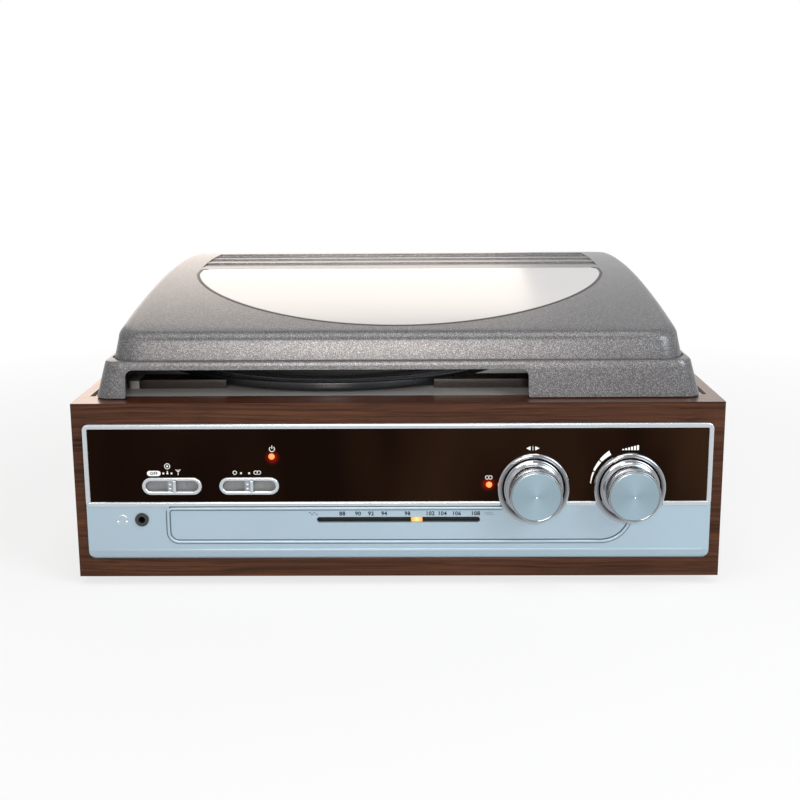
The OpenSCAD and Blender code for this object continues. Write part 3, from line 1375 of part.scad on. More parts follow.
// Clear half-moon window, set on its lip
module lid_window() color("#e8e6e2", 0.5) in_cabinet() intersection() {
    arch_slice(0, window_t);
    linear_extrude_at(skirt_z, lid_top_z + over) window_outline(set_gap);
}

// Knuckles on the lid's rear wall
module lid_knuckles() color("#3a3836") in_cabinet() for (x = [-hinge_x, hinge_x]) difference() {
    union() {
        rod_x(hinge_y, hinge_z, knuckle_r, x - knuckle_w / 2, x + knuckle_w / 2);
        block([x - knuckle_w / 2, lid_back, hinge_z - 3], [x + knuckle_w / 2, hinge_y, hinge_z + 3]);
    }
    rod_x(hinge_y, hinge_z, hinge_pin_r + turn_gap, x - knuckle_w, x + knuckle_w);
}

// Hinge brackets on the deck: foot, two ears and the pin between them
module hinge_brackets() color("#34322f") in_cabinet() for (x = [-hinge_x, hinge_x]) {
    ear_in = knuckle_w / 2 + slide_gap;
    block([x - ear_in - ear_t, hinge_y - ear_r, deck_z],
        [x + ear_in + ear_t, hinge_y + knuckle_r, deck_z + bracket_foot]);
    for (e = [x - ear_in - ear_t, x + ear_in]) {
        rod_x(hinge_y, hinge_z, ear_r, e, e + ear_t);
        block([e, hinge_y - ear_r, deck_z], [e + ear_t, hinge_y + knuckle_r, hinge_z]);
    }
    rod_x(hinge_y, hinge_z, hinge_pin_r, x - ear_in - ear_t, x + ear_in + ear_t);
}

// ---------------------------------------------------------------- assembly
front_frame();
side_board_left();
side_board_right();
base_board();
rear_panel();
corner_blocks();
feet();
front_panel();
black_fascia();
knob_rings();
tuning_knob();
tuning_knob_face();
tuning_bush();
tuning_shaft();
volume_knob();
volume_knob_face();
volume_control();
volume_shaft();
switch_bezels();
function_slider();
stereo_slider();
switch_bodies();
lamps();
headphone_socket();
dial_plate();
dial_pointer();
cord_guide();
dial_cord();
dial_drum();
tuning_capacitor();
circuit_board();
transformer();
speakers();
line_out_sockets();
lead_gland();
deck_plate();
deck_trim();
control_deck();
platter();
platter_mat();
spindle();
platter_bearing();
drive_belt();
motor();
motor_pulley();
tonearm_base();
tonearm_turret();
tonearm();
cartridge();
stylus();
arm_rest();
cue_lever();
cue_bar();
speed_slider();
stop_slider();
adaptor_45();
lid_shell();
lid_window();
lid_knuckles();
hinge_brackets();
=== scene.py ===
# %% [markdown]
# # A table-top record player with a radio
#
# The part is a wooden cabinet with a silver and black front, two chrome knobs and a smoked lid.
# The packed CAD model gives every piece its place, so this script never moves one. It adds what a
# CAD model leaves out: smooth lofted shells, rounded trims, printed marks, and a worked-out finish
# for each material.

import json
import math

import bmesh
import bpy
import numpy as np
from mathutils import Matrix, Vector


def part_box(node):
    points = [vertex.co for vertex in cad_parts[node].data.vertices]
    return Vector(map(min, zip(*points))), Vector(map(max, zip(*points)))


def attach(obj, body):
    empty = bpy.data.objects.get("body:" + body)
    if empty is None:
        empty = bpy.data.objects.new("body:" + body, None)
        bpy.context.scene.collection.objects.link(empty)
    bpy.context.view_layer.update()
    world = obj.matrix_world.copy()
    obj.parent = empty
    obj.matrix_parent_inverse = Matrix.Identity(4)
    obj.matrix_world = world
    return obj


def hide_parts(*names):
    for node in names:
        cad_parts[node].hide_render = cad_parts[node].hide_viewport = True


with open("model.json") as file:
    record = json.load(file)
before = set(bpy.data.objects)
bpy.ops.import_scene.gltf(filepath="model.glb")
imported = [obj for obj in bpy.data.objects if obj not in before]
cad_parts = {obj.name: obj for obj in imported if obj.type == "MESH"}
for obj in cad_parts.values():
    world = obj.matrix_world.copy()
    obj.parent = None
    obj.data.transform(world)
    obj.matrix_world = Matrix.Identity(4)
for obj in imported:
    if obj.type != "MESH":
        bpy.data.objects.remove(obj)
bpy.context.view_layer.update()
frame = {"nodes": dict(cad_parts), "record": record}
nodes = frame["nodes"]
scene = bpy.context.scene
print(len(nodes), "CAD nodes loaded")

# %% [markdown]
# ## Working in the cabinet's own millimetres
#
# The drawing of the real thing measures from the cabinet's front face and its underside. Two
# functions carry those millimetres into the metres of the shared frame and back, so every number
# below can be read against the object.

# %% Cabinet millimetres and metres
FRONT_Y = -137.75
FOOT_H = 5.0
FACE_Y = -0.8
KNOB_Z = 48.0
KNOB_XS = {"tuning": 70.2, "volume": 119.7}
LAMPS = [(-64.4, 69.6), (46.9, 55.1)]
POINTER = (9.9, 36.2)
METRE = 1000.0


def place(points):
    """Points in the cabinet's millimetres, as an N by 3 array, moved and scaled into metres."""
    return (np.asarray(points, float).reshape(-1, 3) + [0, FRONT_Y, FOOT_H]) / METRE


def node_box(name):
    """A CAD node's lower and upper corner in the cabinet's millimetres."""
    return [np.array(corner) * METRE - [0, FRONT_Y, FOOT_H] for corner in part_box(name)]


print("the front panel spans", [corner.round(1).tolist() for corner in node_box("front_panel")])

# %% [markdown]
# ## From arrays to a mesh
#
# A surface worked out on a grid needs only its points and the pattern that joins them. Sharp
# corners and soft curves meet on the same piece, so shading is smooth except where two faces
# meet at more than a set angle.

# %% Grids and welding
def grid_faces(rows, columns, closed_rows=False, closed_columns=False):
    """Quads that join a grid of rows by columns points, each cell's four corners in turn. A closed
    direction joins its last line of points to its first."""
    index = np.arange(rows * columns).reshape(rows, columns)
    if closed_rows:
        index = np.vstack([index, index[:1]])
    if closed_columns:
        index = np.hstack([index, index[:, :1]])
    a, b = index[:-1, :-1], index[1:, :-1]
    c, d = index[1:, 1:], index[:-1, 1:]
    return np.stack([a, b, c, d], axis=-1).reshape(-1, 4)


def weld(points, faces, cell=0.02):
    """Joins points that share a cell of that size. A face that keeps all its corners stays, a quad
    that loses one becomes a triangle, and a face with fewer vanishes."""
    key = np.round((points + 0.00371) / cell).astype(np.int64)
    _, first, inverse = np.unique(key, axis=0, return_index=True, return_inverse=True)
    faces = inverse.reshape(-1)[faces]
    fresh = faces != np.roll(faces, 1, axis=1)
    folded = (faces[:, 0] == faces[:, 2]) | (faces[:, 1] == faces[:, -1])
    whole = faces[fresh.all(axis=1) & ~folded].tolist()
    halved = fresh.sum(axis=1) == faces.shape[1] - 1
    if faces.shape[1] == 4:
        whole += faces[halved][fresh[halved]].reshape(-1, 3).tolist()
    return points[first], whole


print("a grid of 3 by 4 points has", len(grid_faces(3, 4)), "faces")

# %% [markdown]
# ### Making a piece
#
# Every piece ends in the same few steps: its mesh, its outward faces, its shading, its finish, and
# the body that it rides on. One function does them all, so no piece can miss one.

# %% Piece maker
pieces = {}
materials = {}


def add_object(name, data):
    """An object that is linked to the scene."""
    made = bpy.data.objects.new(name, data)
    scene.collection.objects.link(made)
    return made


def make_piece(name, points, faces, body, slot, finish=None, replaces=(), sharp=35, join=True):
    """One finished mesh from millimetre points and faces. Its faces are turned outwards, and edges
    sharper than the given angle stay crisp. It wears its slot's finish or the one named."""
    points = np.asarray(points, float).reshape(-1, 3)
    if join:
        points, faces = weld(points, np.asarray(faces))
    mesh = bpy.data.meshes.new(name)
    mesh.from_pydata(place(points).tolist(), [], [[*map(int, face)] for face in faces])
    mesh.validate()
    solid = bmesh.new()
    solid.from_mesh(mesh)
    bmesh.ops.recalc_face_normals(solid, faces=solid.faces)
    solid.to_mesh(mesh)
    solid.free()
    mesh.shade_smooth()
    mesh.set_sharp_from_angle(angle=math.radians(sharp))
    mesh.materials.append(materials[finish or slot])
    piece = pieces[name] = add_object(name, mesh)
    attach(piece, body)
    if replaces:
        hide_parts(*replaces)
    return piece


print("the piece maker is ready, with", len(pieces), "pieces so far")

# %% [markdown]
# ## Turned parts and arcs
#
# Knobs, rings, platter and screws are all turned: a profile that is carried round an axis. Outlines
# in a plane are joined from arcs.

# %% Turning and arcs
def revolve(profile, centre, axis, segments=96, closed=False):
    """Points and faces of a turned part. The profile's pairs are (radius, distance along the axis),
    and each is carried round: centre + radius (cos a, sin a) + distance along the axis."""
    profile = np.asarray(profile, float)
    angle = np.linspace(0, 2 * np.pi, segments, endpoint=False)
    ring = np.stack([np.cos(angle), np.sin(angle)], axis=-1)
    radial = profile[:, None, :1] * ring[None]
    along = np.broadcast_to(profile[:, None, 1:], radial.shape[:2] + (1,))
    points = np.concatenate([radial, along], axis=-1)
    if axis == "y":
        points = points[..., [0, 2, 1]]
    faces = grid_faces(len(profile), segments, closed_rows=closed, closed_columns=True)
    return (points + np.asarray(centre, float)).reshape(-1, 3), faces


def arc_points(centre, radius, start, end, count):
    """Points of an arc in a plane: centre + radius (cos a, sin a), with a in degrees."""
    angle = np.radians(np.linspace(start, end, count))
    return np.stack([centre[0] + radius * np.cos(angle), centre[1] + radius * np.sin(angle)], -1)


print("a quarter arc ends at", arc_points((0, 0), 1, 0, 90, 5)[-1].round(3).tolist())

# %% [markdown]
# ## The camera
#
# The photograph shows the player from a little above its front. Solving the corners of the cabinet
# gave one place and direction that put all of them on their pixels, with a lens a little longer
# than normal.

# %% Camera
camera_data = bpy.data.cameras.new("camera")
camera_data.sensor_width = 36.0
camera_data.lens = 57.572
camera_data.clip_start = 0.05
camera = add_object("camera", camera_data)
camera.location = place([8.86, -638.14, 231.24])[0]
camera.rotation_euler = [math.radians(a) for a in (77.8999, 0.3298, 0.5871)]
scene.camera = camera
print("camera at", [round(v, 3) for v in camera.location])

# %% [markdown]
# ## Building shaders in short steps
#
# The finishes share a few steps: noise, a ramp, a mix of two colours, some arithmetic. One small
# class gives each of them a short name, so a finish below reads as a list of what it does. All
# textures use the piece's own Object coordinates, so nothing slides when the view changes.


# %% Node helpers
class Nodes:
    """Steps of one node tree. Each takes numbers or sockets, and gives back an output socket."""

    def __init__(self, tree, end=None):
        self.tree, self.end = tree, end

    def add(self, kind, values=None, **settings):
        """A node with its settings and with constants or links on its inputs."""
        node = self.tree.nodes.new("ShaderNode" + kind)
        for key, value in settings.items():
            setattr(node, key, value)
        for key, value in (values or {}).items():
            if isinstance(value, bpy.types.NodeSocket):
                self.tree.links.new(value, node.inputs[key])
            else:
                node.inputs[key].default_value = value
        return node

    def calc(self, operation, a, b=0.0, c=0.0, clamp=False):
        """What a Math node makes of two or three numbers."""
        return self.add("Math", {0: a, 1: b, 2: c}, operation=operation,
                        use_clamp=clamp).outputs[0]

    def vector(self, operation, a, b=(0, 0, 0)):
        """What a Vector Math node makes of two vectors: a vector, a length or a distance."""
        out = "Value" if operation in ("LENGTH", "DISTANCE") else "Vector"
        return self.add("VectorMath", {0: a, 1: b}, operation=operation).outputs[out]

    def here(self, scale=(1, 1, 1)):
        """The piece's Object coordinates, scaled along each axis."""
        at = self.add("TexCoord").outputs["Object"]
        return self.add("Mapping", {"Vector": at, "Scale": scale}).outputs[0]

    def noise(self, at, scale, detail, roughness=0.5, out=0):
        """A noise texture's value, or its colour."""
        return self.add("TexNoise", {"Vector": at, "Scale": scale, "Detail": detail,
                                     "Roughness": roughness}).outputs[out]

    def ramp(self, value, low, high, start=0.0, end=1.0):
        """Carries a value from low..high to start..end, and holds it inside."""
        return self.add("MapRange", {"Value": value, "From Min": low, "From Max": high,
                                     "To Min": start, "To Max": end}, clamp=True).outputs[0]

    def mix(self, factor, a, b, blend="MIX"):
        """The colour between a and b at that factor."""
        return self.add("Mix", {0: factor, 6: a, 7: b}, data_type="RGBA",
                        blend_type=blend).outputs[2]

    def near(self, x, z, reach):
        """One at a place on the front, falling off evenly to nothing at the given reach, in mm."""
        gap = self.vector("DISTANCE", self.here((1, 0, 1)), (x / METRE, 0, z / METRE))
        return self.calc("MULTIPLY_ADD", gap, -METRE / reach, 1.0, clamp=True)

    def facing(self):
        """How far the surface turns away from the viewer, from 0 to 1."""
        return self.add("LayerWeight", {"Blend": 0.5}).outputs["Facing"]

    def effect(self, group, **values):
        """The outputs of a shared effect with these values."""
        return self.add("Group", values, node_tree=group).outputs

    def feed(self, **sockets):
        """Links sockets to the inputs of the tree's last node, with _ in place of a space."""
        for label, socket in sockets.items():
            self.tree.links.new(socket, self.end.inputs[label.replace("_", " ")])

    def bump(self, height, strength, distance=0.00006):
        """Sends a height through a Bump node into the normal."""
        self.feed(Normal=self.add("Bump", {"Height": height, "Strength": strength,
                                           "Distance": distance}).outputs[0])


print("node helpers:", len([step for step in vars(Nodes) if not step.startswith("_")]))

# %% [markdown]
# ### Shared effects
#
# Several finishes need wood grain, moulded skin, flakes or turning marks. Each is a node group that
# is built once. Its inputs are the numbers that differ from finish to finish.


# %% Effect maker
def shared_effect(name, inputs, outputs):
    """A node group: the group, its Nodes that end in its outputs, and its input sockets."""
    group = bpy.data.node_groups.new(name, "ShaderNodeTree")
    kinds = {float: "Float", 3: "Vector", 4: "Color"}
    for label, value in inputs.items():
        kind = kinds[float if isinstance(value, float) else len(value)]
        group.interface.new_socket(name=label, in_out="INPUT",
                                   socket_type="NodeSocket" + kind).default_value = value
    for label in outputs:
        group.interface.new_socket(name=label, in_out="OUTPUT", socket_type="NodeSocket" + (
            "Color" if label == "Color" else "Float"))
    given = group.nodes.new("NodeGroupInput").outputs
    return group, Nodes(group, group.nodes.new("NodeGroupOutput")), given


print(len(bpy.data.node_groups), "effects so far")

# %% [markdown]
# ## Wood grain
#
# The cabinet wears a walnut-look wrap: long, fine streaks that run along each board, with short
# dark pores between them. Noise that is stretched along the board gives both. The group takes the
# three scales as one vector, so a board can turn its grain by swapping them.

# %% Grain group
grain_group, n, given = shared_effect(
    "wood_grain", {"Scales": (9.0, 620.0, 620.0), "Dark": (0.015, 0.0058, 0.0032, 1),
                   "Light": (0.092, 0.036, 0.018, 1)}, ["Color", "Height", "Roughness"])
at = n.here()
wobble = n.vector("MULTIPLY", n.noise(at, 9.0, 2.0, out="Color"), (0.006, 0.006, 0.006))
along = n.vector("MULTIPLY", n.vector("ADD", at, wobble), given["Scales"])
streaks = n.calc("MULTIPLY", n.noise(along, 1.0, 6.0, 0.62), 0.72)
both = n.calc("MULTIPLY_ADD", n.noise(along, 0.16, 2.0), 0.28, streaks)
level = n.calc("MULTIPLY_ADD", n.calc("SUBTRACT", both, 0.5), 0.95, 0.5)
steep = n.ramp(level, 0.36, 0.64)
pores = n.ramp(n.noise(n.vector("MULTIPLY", along, (4.0, 3.0, 3.0)), 1.0, 3.0), 0.56, 0.70)
toned = n.mix(steep, given["Dark"], given["Light"])
n.feed(Color=n.mix(n.calc("MULTIPLY", pores, 0.65), toned, given["Dark"]),
       Height=n.calc("SUBTRACT", n.calc("MULTIPLY", steep, 0.4), pores),
       Roughness=n.calc("MULTIPLY_ADD", pores, 0.2, 0.34))
print("grain has", len(grain_group.nodes), "nodes")

# %% [markdown]
# ## Moulded skin
#
# Moulded plastic and satin paint are never perfectly even: a fine tooth catches the light, and the
# gloss drifts slowly across the part. One noise makes the tooth and a wider one the drift.

# %% Skin group
skin_group, n, given = shared_effect(
    "moulded_skin", {"Color": (0.5, 0.5, 0.5, 1), "Variation": 0.06, "Roughness": 0.4,
                     "Drift": 0.08, "Grain": 2500.0}, ["Color", "Roughness", "Height"])
at = n.here()
drift = n.calc("SUBTRACT", n.noise(at, 22.0, 3.0), 0.5)
tone = n.calc("MULTIPLY_ADD", drift, given["Variation"], 1.0)
n.feed(Color=n.mix(1.0, given["Color"], tone, "MULTIPLY"),
       Roughness=n.calc("MULTIPLY_ADD", drift, given["Drift"], given["Roughness"], clamp=True),
       Height=n.noise(at, given["Grain"], 2.0))
print("skin has", len(skin_group.nodes), "nodes")

# %% [markdown]
# ## Flakes
#
# The smoked lid holds small bright flakes. Cells of a Voronoi texture stand for them: each cell has
# its own random colour, one channel picks the bright ones and another tilts them a little.

# %% Flake group
flake_group, n, given = shared_effect(
    "flakes", {"Base": (0.1, 0.1, 0.1, 1), "Flake": (0.8, 0.8, 0.8, 1), "Size": 1500.0,
               "Share": 0.2}, ["Color", "Height"])
cells = n.add("TexVoronoi", {"Vector": n.here(), "Scale": given["Size"]}).outputs["Color"]
random = n.add("SeparateColor", {0: cells}).outputs
bright = n.calc("LESS_THAN", random[0], given["Share"])
n.feed(Color=n.mix(bright, given["Base"], given["Flake"]), Height=random[1])
print("flakes have", len(flake_group.nodes), "nodes")

# %% [markdown]
# ## Turning marks
#
# Spun metal has fine rings round its axis, and they spread a highlight into two fans. The rings are
# noise along the radius alone, and the fans follow the cosine of twice the angle. The fans times
# the rings also come out as a painted highlight and shade for a base colour.

# %% Turning group
turned_group, n, given = shared_effect(
    "turning_marks", {"Centre": (0.0, 0.0, 0.0), "Rings": 5200.0}, ["Height", "Streak", "Glow"])
part = n.add("SeparateXYZ", {0: n.vector("SUBTRACT", n.here(), given["Centre"])}).outputs
square = n.calc("MULTIPLY_ADD", part[0], part[0], n.calc("MULTIPLY", part[2], part[2]))
outwards = n.calc("MULTIPLY", n.calc("SQRT", square), given["Rings"])
rings = n.noise(n.add("CombineXYZ", {0: outwards}).outputs[0], 1.0, 2.0)
turns = n.calc("MULTIPLY", n.calc("ARCTAN2", part[2], part[0]), 2.0)
fan = n.calc("COSINE", turns)
# painted highlight and shade: the fans times the rings, for a base colour
n.feed(Height=rings, Streak=fan,
       Glow=n.calc("MULTIPLY", n.calc("MULTIPLY_ADD", fan, 0.5, 0.5), rings))
print("turning marks have", len(turned_group.nodes), "nodes")

# %% [markdown]
# ## Builders of finishes
#
# Each material slot of the part gets one finish. A builder function adds the textured inputs, and
# the plain numbers of a finish, such as how metallic it is, sit directly on the shader.


# %% Finish maker, skin and flakes
def finish(name, build, settings=None):
    """A material with one Principled shader. Settings are constants on its inputs, and the build
    function adds the textures that vary over the surface."""
    material = bpy.data.materials.new(name)
    material.use_nodes = True
    material.node_tree.nodes.clear()
    n = Nodes(material.node_tree)
    n.end = n.add("BsdfPrincipled", settings)
    n.add("OutputMaterial", {0: n.end.outputs[0]})
    build(n)
    materials[name] = material


def skin(colour, roughness, variation=0.1, drift=0.12, grain=2500.0, strength=0.15):
    """Builder of a moulded or painted skin: slow drift of tone and gloss, and a fine tooth."""
    def build(n):
        out = n.effect(skin_group, Color=(*colour, 1), Variation=variation, Roughness=roughness,
                       Drift=drift, Grain=grain)
        n.feed(Base_Color=out["Color"], Roughness=out["Roughness"])
        n.bump(out["Height"], strength)
    return build


def flaked(base, flake, size, share, strength=0.12):
    """Builder of a plastic or paint with fine bright flakes in it."""
    def build(n):
        out = n.effect(flake_group, Base=(*base, 1), Flake=(*flake, 1), Size=size, Share=share)
        n.feed(Base_Color=out["Color"])
        n.bump(out["Height"], strength, 0.00004)
    return build


print("moulded finishes can be built")

# %% [markdown]
# ### Wood, spun metal and plating
#
# The walnut wrap has a lacquer that shows only where the board is seen at a low angle, as on its
# top edges. The spun faces spread their gloss in two fans through their roughness, and the fans are
# also painted into their base colour as highlight and shade. Bright plating mirrors a white room,
# so on its own it would look flat: a painted reflection in its base colour makes it darker where it
# faces the viewer and brighter at its edges.


# %% Wood and metal builders
def grained(scales):
    """Builder of the walnut wrap, with a lacquer that shows only at a low angle."""
    def build(n):
        out = n.effect(grain_group, Scales=scales)
        n.feed(Base_Color=out["Color"], Roughness=out["Roughness"],
               Coat_Weight=n.ramp(n.facing(), 0.35, 0.72))
        n.bump(out["Height"], 0.22, 0.00012)
    return build


def turned(centre_x):
    """Builder of a spun metal face: fine rings round its axis, a gloss that fans out from it, and
    the same fans painted into its base colour as highlight and shade.
    """
    def build(n):
        centre = (centre_x / METRE, 0, (KNOB_Z + FOOT_H) / METRE)
        out = n.effect(turned_group, Centre=centre)
        # painted highlight and shade: the fans lighten and darken the base colour
        n.feed(Roughness=n.calc("MULTIPLY_ADD", out["Streak"], 0.07, 0.24),
               Base_Color=n.mix(out["Glow"], (0.355, 0.48, 0.55, 1), (0.1704, 0.2304, 0.264, 1)))
        n.bump(out["Height"], 0.35, 0.00005)
    return build


def painted_reflection_plating(facing, edge, roughness):
    """Builder of bright plating with a painted reflection in its base colour: darker where it faces
    the viewer, for the dim side of the room, and brighter towards its rounded edges, as Layer
    Weight measures it."""
    def build(n):
        out = n.effect(skin_group, Roughness=roughness, Drift=0.06)
        # painted reflection: the base colour is darker where the plating faces the viewer and
        # brighter at its edges
        n.feed(Base_Color=n.mix(n.facing(), (*facing, 1), (*edge, 1)),
               Roughness=out["Roughness"])
        n.bump(out["Height"], 0.03)
    return build


print("wood and metal finishes can be built")

# %% [markdown]
# ### Black glass, clear plastic and light
#
# The black band carries a painted reflection of a dim, warm room in its base colour, and a painted
# red halo glows in it round each lamp. The window is clear from above and milky at a low angle,
# partly from its gloss and partly from a painted reflection in its pale base colour. The pointer is
# brightest in its middle.


# %% Glass and light builders
def glazed(dark, painted_reflection_colour):
    """Builder of the black glass band, with painted light: a painted reflection of a dim room as
    tall warm clouds in its base colour, stronger to the right, and a painted red halo in the glass
    round each lamp, as (1 - distance / reach) squared."""
    def build(n):
        # painted reflection: tall warm clouds of a dim room in the base colour, stronger to the
        # right
        painted_reflection_cloud = n.ramp(n.noise(n.here((15.0, 15.0, 5.0)), 1.0, 2.0), 0.42, 0.72)
        rightwards = n.ramp(n.add("SeparateXYZ", {0: n.here()}).outputs[0], -0.10, 0.20)
        share = n.calc("MULTIPLY", painted_reflection_cloud, n.calc("MULTIPLY_ADD", rightwards, 0.7, 0.3))
        # painted halo: a red glow in the glass round each lamp, fed to the emission
        painted_halo = 0.0
        for x, z in LAMPS:
            fade = n.near(x, z, 4.6)
            painted_halo = n.calc("MULTIPLY_ADD", fade, fade, painted_halo)
        n.feed(Base_Color=n.mix(share, (*dark, 1), (*painted_reflection_colour, 1)),
               Emission_Color=n.mix(painted_halo, (0, 0, 0, 1), (0.55, 0.012, 0.002, 1)))
    return build


def clear_pane(colour, roughness, low, high):
    """Builder of clear plastic: it lets the deck show when seen from above, and turns milky white
    at a low angle, where it mirrors the bright room; that white is partly its own gloss and partly
    a painted reflection, its pale base colour made opaque."""
    def build(n):
        skin(colour, roughness, 0.03, 0.05, strength=0.02)(n)
        # painted reflection: the pale base colour turns opaque at a low angle
        n.feed(Alpha=n.ramp(n.facing(), 0.30, 0.72, low, high))
    return build


def lit_nose(core, edge):
    """Builder of the lit pointer: white-yellow in its middle, and amber towards its ends."""
    def build(n):
        skin(edge, 0.3)(n)
        n.feed(Emission_Color=n.mix(n.near(*POINTER, 3.6), (*edge, 1), (*core, 1)))
    return build


print("glass and light finishes can be built")

# %% [markdown]
# ## One finish for each slot
#
# The table lists every slot's finish, and after them the few that single pieces wear: the grain
# that runs along the side boards, the rings round the second knob's axis, the grey of the switch
# recesses, the painted shadow beside the tray line and the two inks, the dark one also the painted
# shade in the screws' cross slots.

# %% Finishes and who wears them
METAL = {"Metallic": 1.0}
SATIN = {"Metallic": 0.3}
LACQUER = {"Specular IOR Level": 0.10, "Coat Roughness": 0.28, "Coat Tint": (1.0, 0.74, 0.58, 1)}
GLOW = {"Emission Strength": 1.0}
FINISHES = {
    "walnut": (grained((9.0, 620.0, 620.0)), LACQUER),
    "board": (flaked((0.105, 0.048, 0.027), (0.21, 0.12, 0.07), 420.0, 0.3, 0.4),
              {"Roughness": 0.8}),
    "batten": (skin((0.34, 0.20, 0.09), 0.7, 0.5, grain=700.0),),
    "panel_silver": (skin((0.338, 0.438, 0.510), 0.32, 0.05, 0.06), {"Metallic": 0.35}),
    # painted light: a painted reflection in the base colour and a painted red halo in the emission
    "fascia_black": (glazed((0.0050, 0.0016, 0.0007), (0.036, 0.016, 0.007)),
                     {"Roughness": 0.08, "Specular IOR Level": 0.02, **GLOW}),
    "chrome": (painted_reflection_plating((0.22, 0.23, 0.245), (0.86, 0.87, 0.88), 0.08), METAL),
    "spun_face": (turned(KNOB_XS["tuning"]), METAL),
    "bright_plastic": (painted_reflection_plating((0.50, 0.54, 0.57), (0.86, 0.88, 0.90), 0.20), {"Metallic": 0.85}),
    "slider_grey": (skin((0.27, 0.30, 0.33), 0.38), SATIN),
    "steel": (skin((0.42, 0.43, 0.44), 0.34, 0.2), METAL),
    "brass": (skin((0.52, 0.37, 0.11), 0.30, 0.2), METAL),
    "lamp": (skin((0.80, 0.045, 0.012), 0.15),
             {"Emission Color": (1.0, 0.15, 0.045, 1), "Emission Strength": 3.0}),
    "black_plastic": (skin((0.012, 0.012, 0.013), 0.48, 0.3, grain=1800.0, strength=0.35),),
    "rubber": (skin((0.011, 0.011, 0.011), 0.72, 0.3, grain=1400.0, strength=0.5),),
    "pointer_amber": (lit_nose((1.0, 0.76, 0.30), (0.42, 0.15, 0.02)), GLOW),
    "ivory": (skin((0.69, 0.64, 0.51), 0.45),),
    "cord": (skin((0.62, 0.54, 0.42), 0.85, 0.5, grain=3500.0, strength=0.6),),
    "circuit": (flaked((0.016, 0.10, 0.045), (0.05, 0.19, 0.10), 300.0, 0.3),
                {"Roughness": 0.45}),
    "core": (skin((0.11, 0.105, 0.095), 0.6, 0.4, grain=900.0, strength=0.5), {"Metallic": 0.4}),
    "speaker_grey": (skin((0.028, 0.028, 0.031), 0.7, 0.3, grain=1200.0),),
    "deck_grey": (skin((0.42, 0.41, 0.385), 0.46, 0.06, grain=2200.0, strength=0.3),),
    # painted shade: the dark trim bar on the deck behind the lid's gap stands for the shade there
    "trim_dark": (skin((0.016, 0.011, 0.009), 0.14, 0.3, 0.05), {"Specular IOR Level": 0.35}),
    "control_silver": (skin((0.54, 0.54, 0.52), 0.38, 0.05), SATIN),
    "platter_alloy": (skin((0.020, 0.022, 0.026), 0.28, 0.3, 0.1), SATIN),
    "arm_silver": (skin((0.56, 0.58, 0.60), 0.28, 0.08), {"Metallic": 0.85}),
    "stylus_red": (skin((0.45, 0.022, 0.014), 0.3),),
    "lid_smoke": (flaked((0.076, 0.074, 0.077), (0.27, 0.27, 0.28), 4600.0, 0.20, 0.08),
                  {"Roughness": 0.30, "Specular IOR Level": 0.4, **SATIN}),
    "window_clear": (clear_pane((0.66, 0.64, 0.62), 0.14, 0.08, 0.94),),
    "walnut_sides": (grained((620.0, 9.0, 620.0)), LACQUER),
    "volume_face": (turned(KNOB_XS["volume"]), METAL),
    "recess_grey": (skin((0.20, 0.21, 0.215), 0.5),),
    # painted shadow beside the tray line
    "trim_shade": (skin((0.045, 0.062, 0.078), 0.5, 0.04),),
    "ink_light": (skin((0.80, 0.80, 0.78), 0.5, 0.04),),
    # dark ink for print, and the painted shade of the screws' cross slots
    "ink_dark": (skin((0.010, 0.014, 0.018), 0.6, 0.04), {"Specular IOR Level": 0.1}),
}
for name, recipe in FINISHES.items():
    finish(name, *recipe)
own_finish = {"switch_bezels": "recess_grey", "side_board_left": "walnut_sides",
              "side_board_right": "walnut_sides", "volume_knob_face": "volume_face"}
slot_of = {part["node"]: part["material_slot"] for part in frame["record"]["subparts"]}
for name, node in nodes.items():
    node.data.materials.clear()
    node.data.materials.append(materials[own_finish.get(name, slot_of[name])])
print(len(materials), "finishes made")

# %% [markdown]
# ## The smoked lid
#
# The lid could be cut from a rounded box, but its arched top, leaning sides and soft edge are what
# catch the light, and a cut mesh shades them badly. So it is lofted: one list of stations runs
# round the lid, and every level of the wall places all of them. Levels that follow each other make
# clean strips: the arch, the rounded edge, the groove at the dome's foot and the skirt in turn.

# %% Lid numbers and the arch
SKIRT_Z, LID_Z, FOOT_HALF, LID_HALF = 112.8, 93.3, 149.3, 157.5
DOME_Y0, DOME_Y1, LID_Y0, LID_Y1 = 15.5, 269.0, 9.5, 272.0
CROWN_Y, CROWN_Z, ARCH_R = 200.0, 146.5, 817.0
WINDOW_Y, WINDOW_R, CHORD_HALF, COLUMN_X = 152.0, 123.0, 119.0, 123.06
RIB_Y0, RIB_PITCH, RIB_STEP = 157.0, 21.0, 1.2
GAP_X0, GAP_X1, GAP_TOP, GAP_R = -141.0, 68.0, 108.3, 4.0
FRONT_HALF = 149.5
WALL, LIP, SEAT, GROOVE, LEDGE = 2.5, 3.0, 1.5, 0.8, 1.2
EDGE_R, DOME_CORNER, SKIRT_CORNER = 5, 12, 8
FRONT_LEAN, LEAN, SKIRT_LEAN, SKIRT_TILT = 0.25, 0.2, 5.2, 1.5


def arch(y):
    """Height of the arched top: crown - R + sqrt(R squared - (distance from the crown) squared)."""
    return CROWN_Z - ARCH_R + np.sqrt(ARCH_R ** 2 - (np.asarray(y, float) - CROWN_Y) ** 2)


print("the arch falls", round(CROWN_Z - float(arch(DOME_Y0)), 1), "mm to the front")

# %% [markdown]
# ### Stations round the lid
#
# Each station knows which of the eight stretches it lies on (four sides, four corners) and its
# share of that stretch. The stations on the front are kept at their own places below the ledge, so
# that the gap's ends stay upright, and those behind the window fall on the ribs.

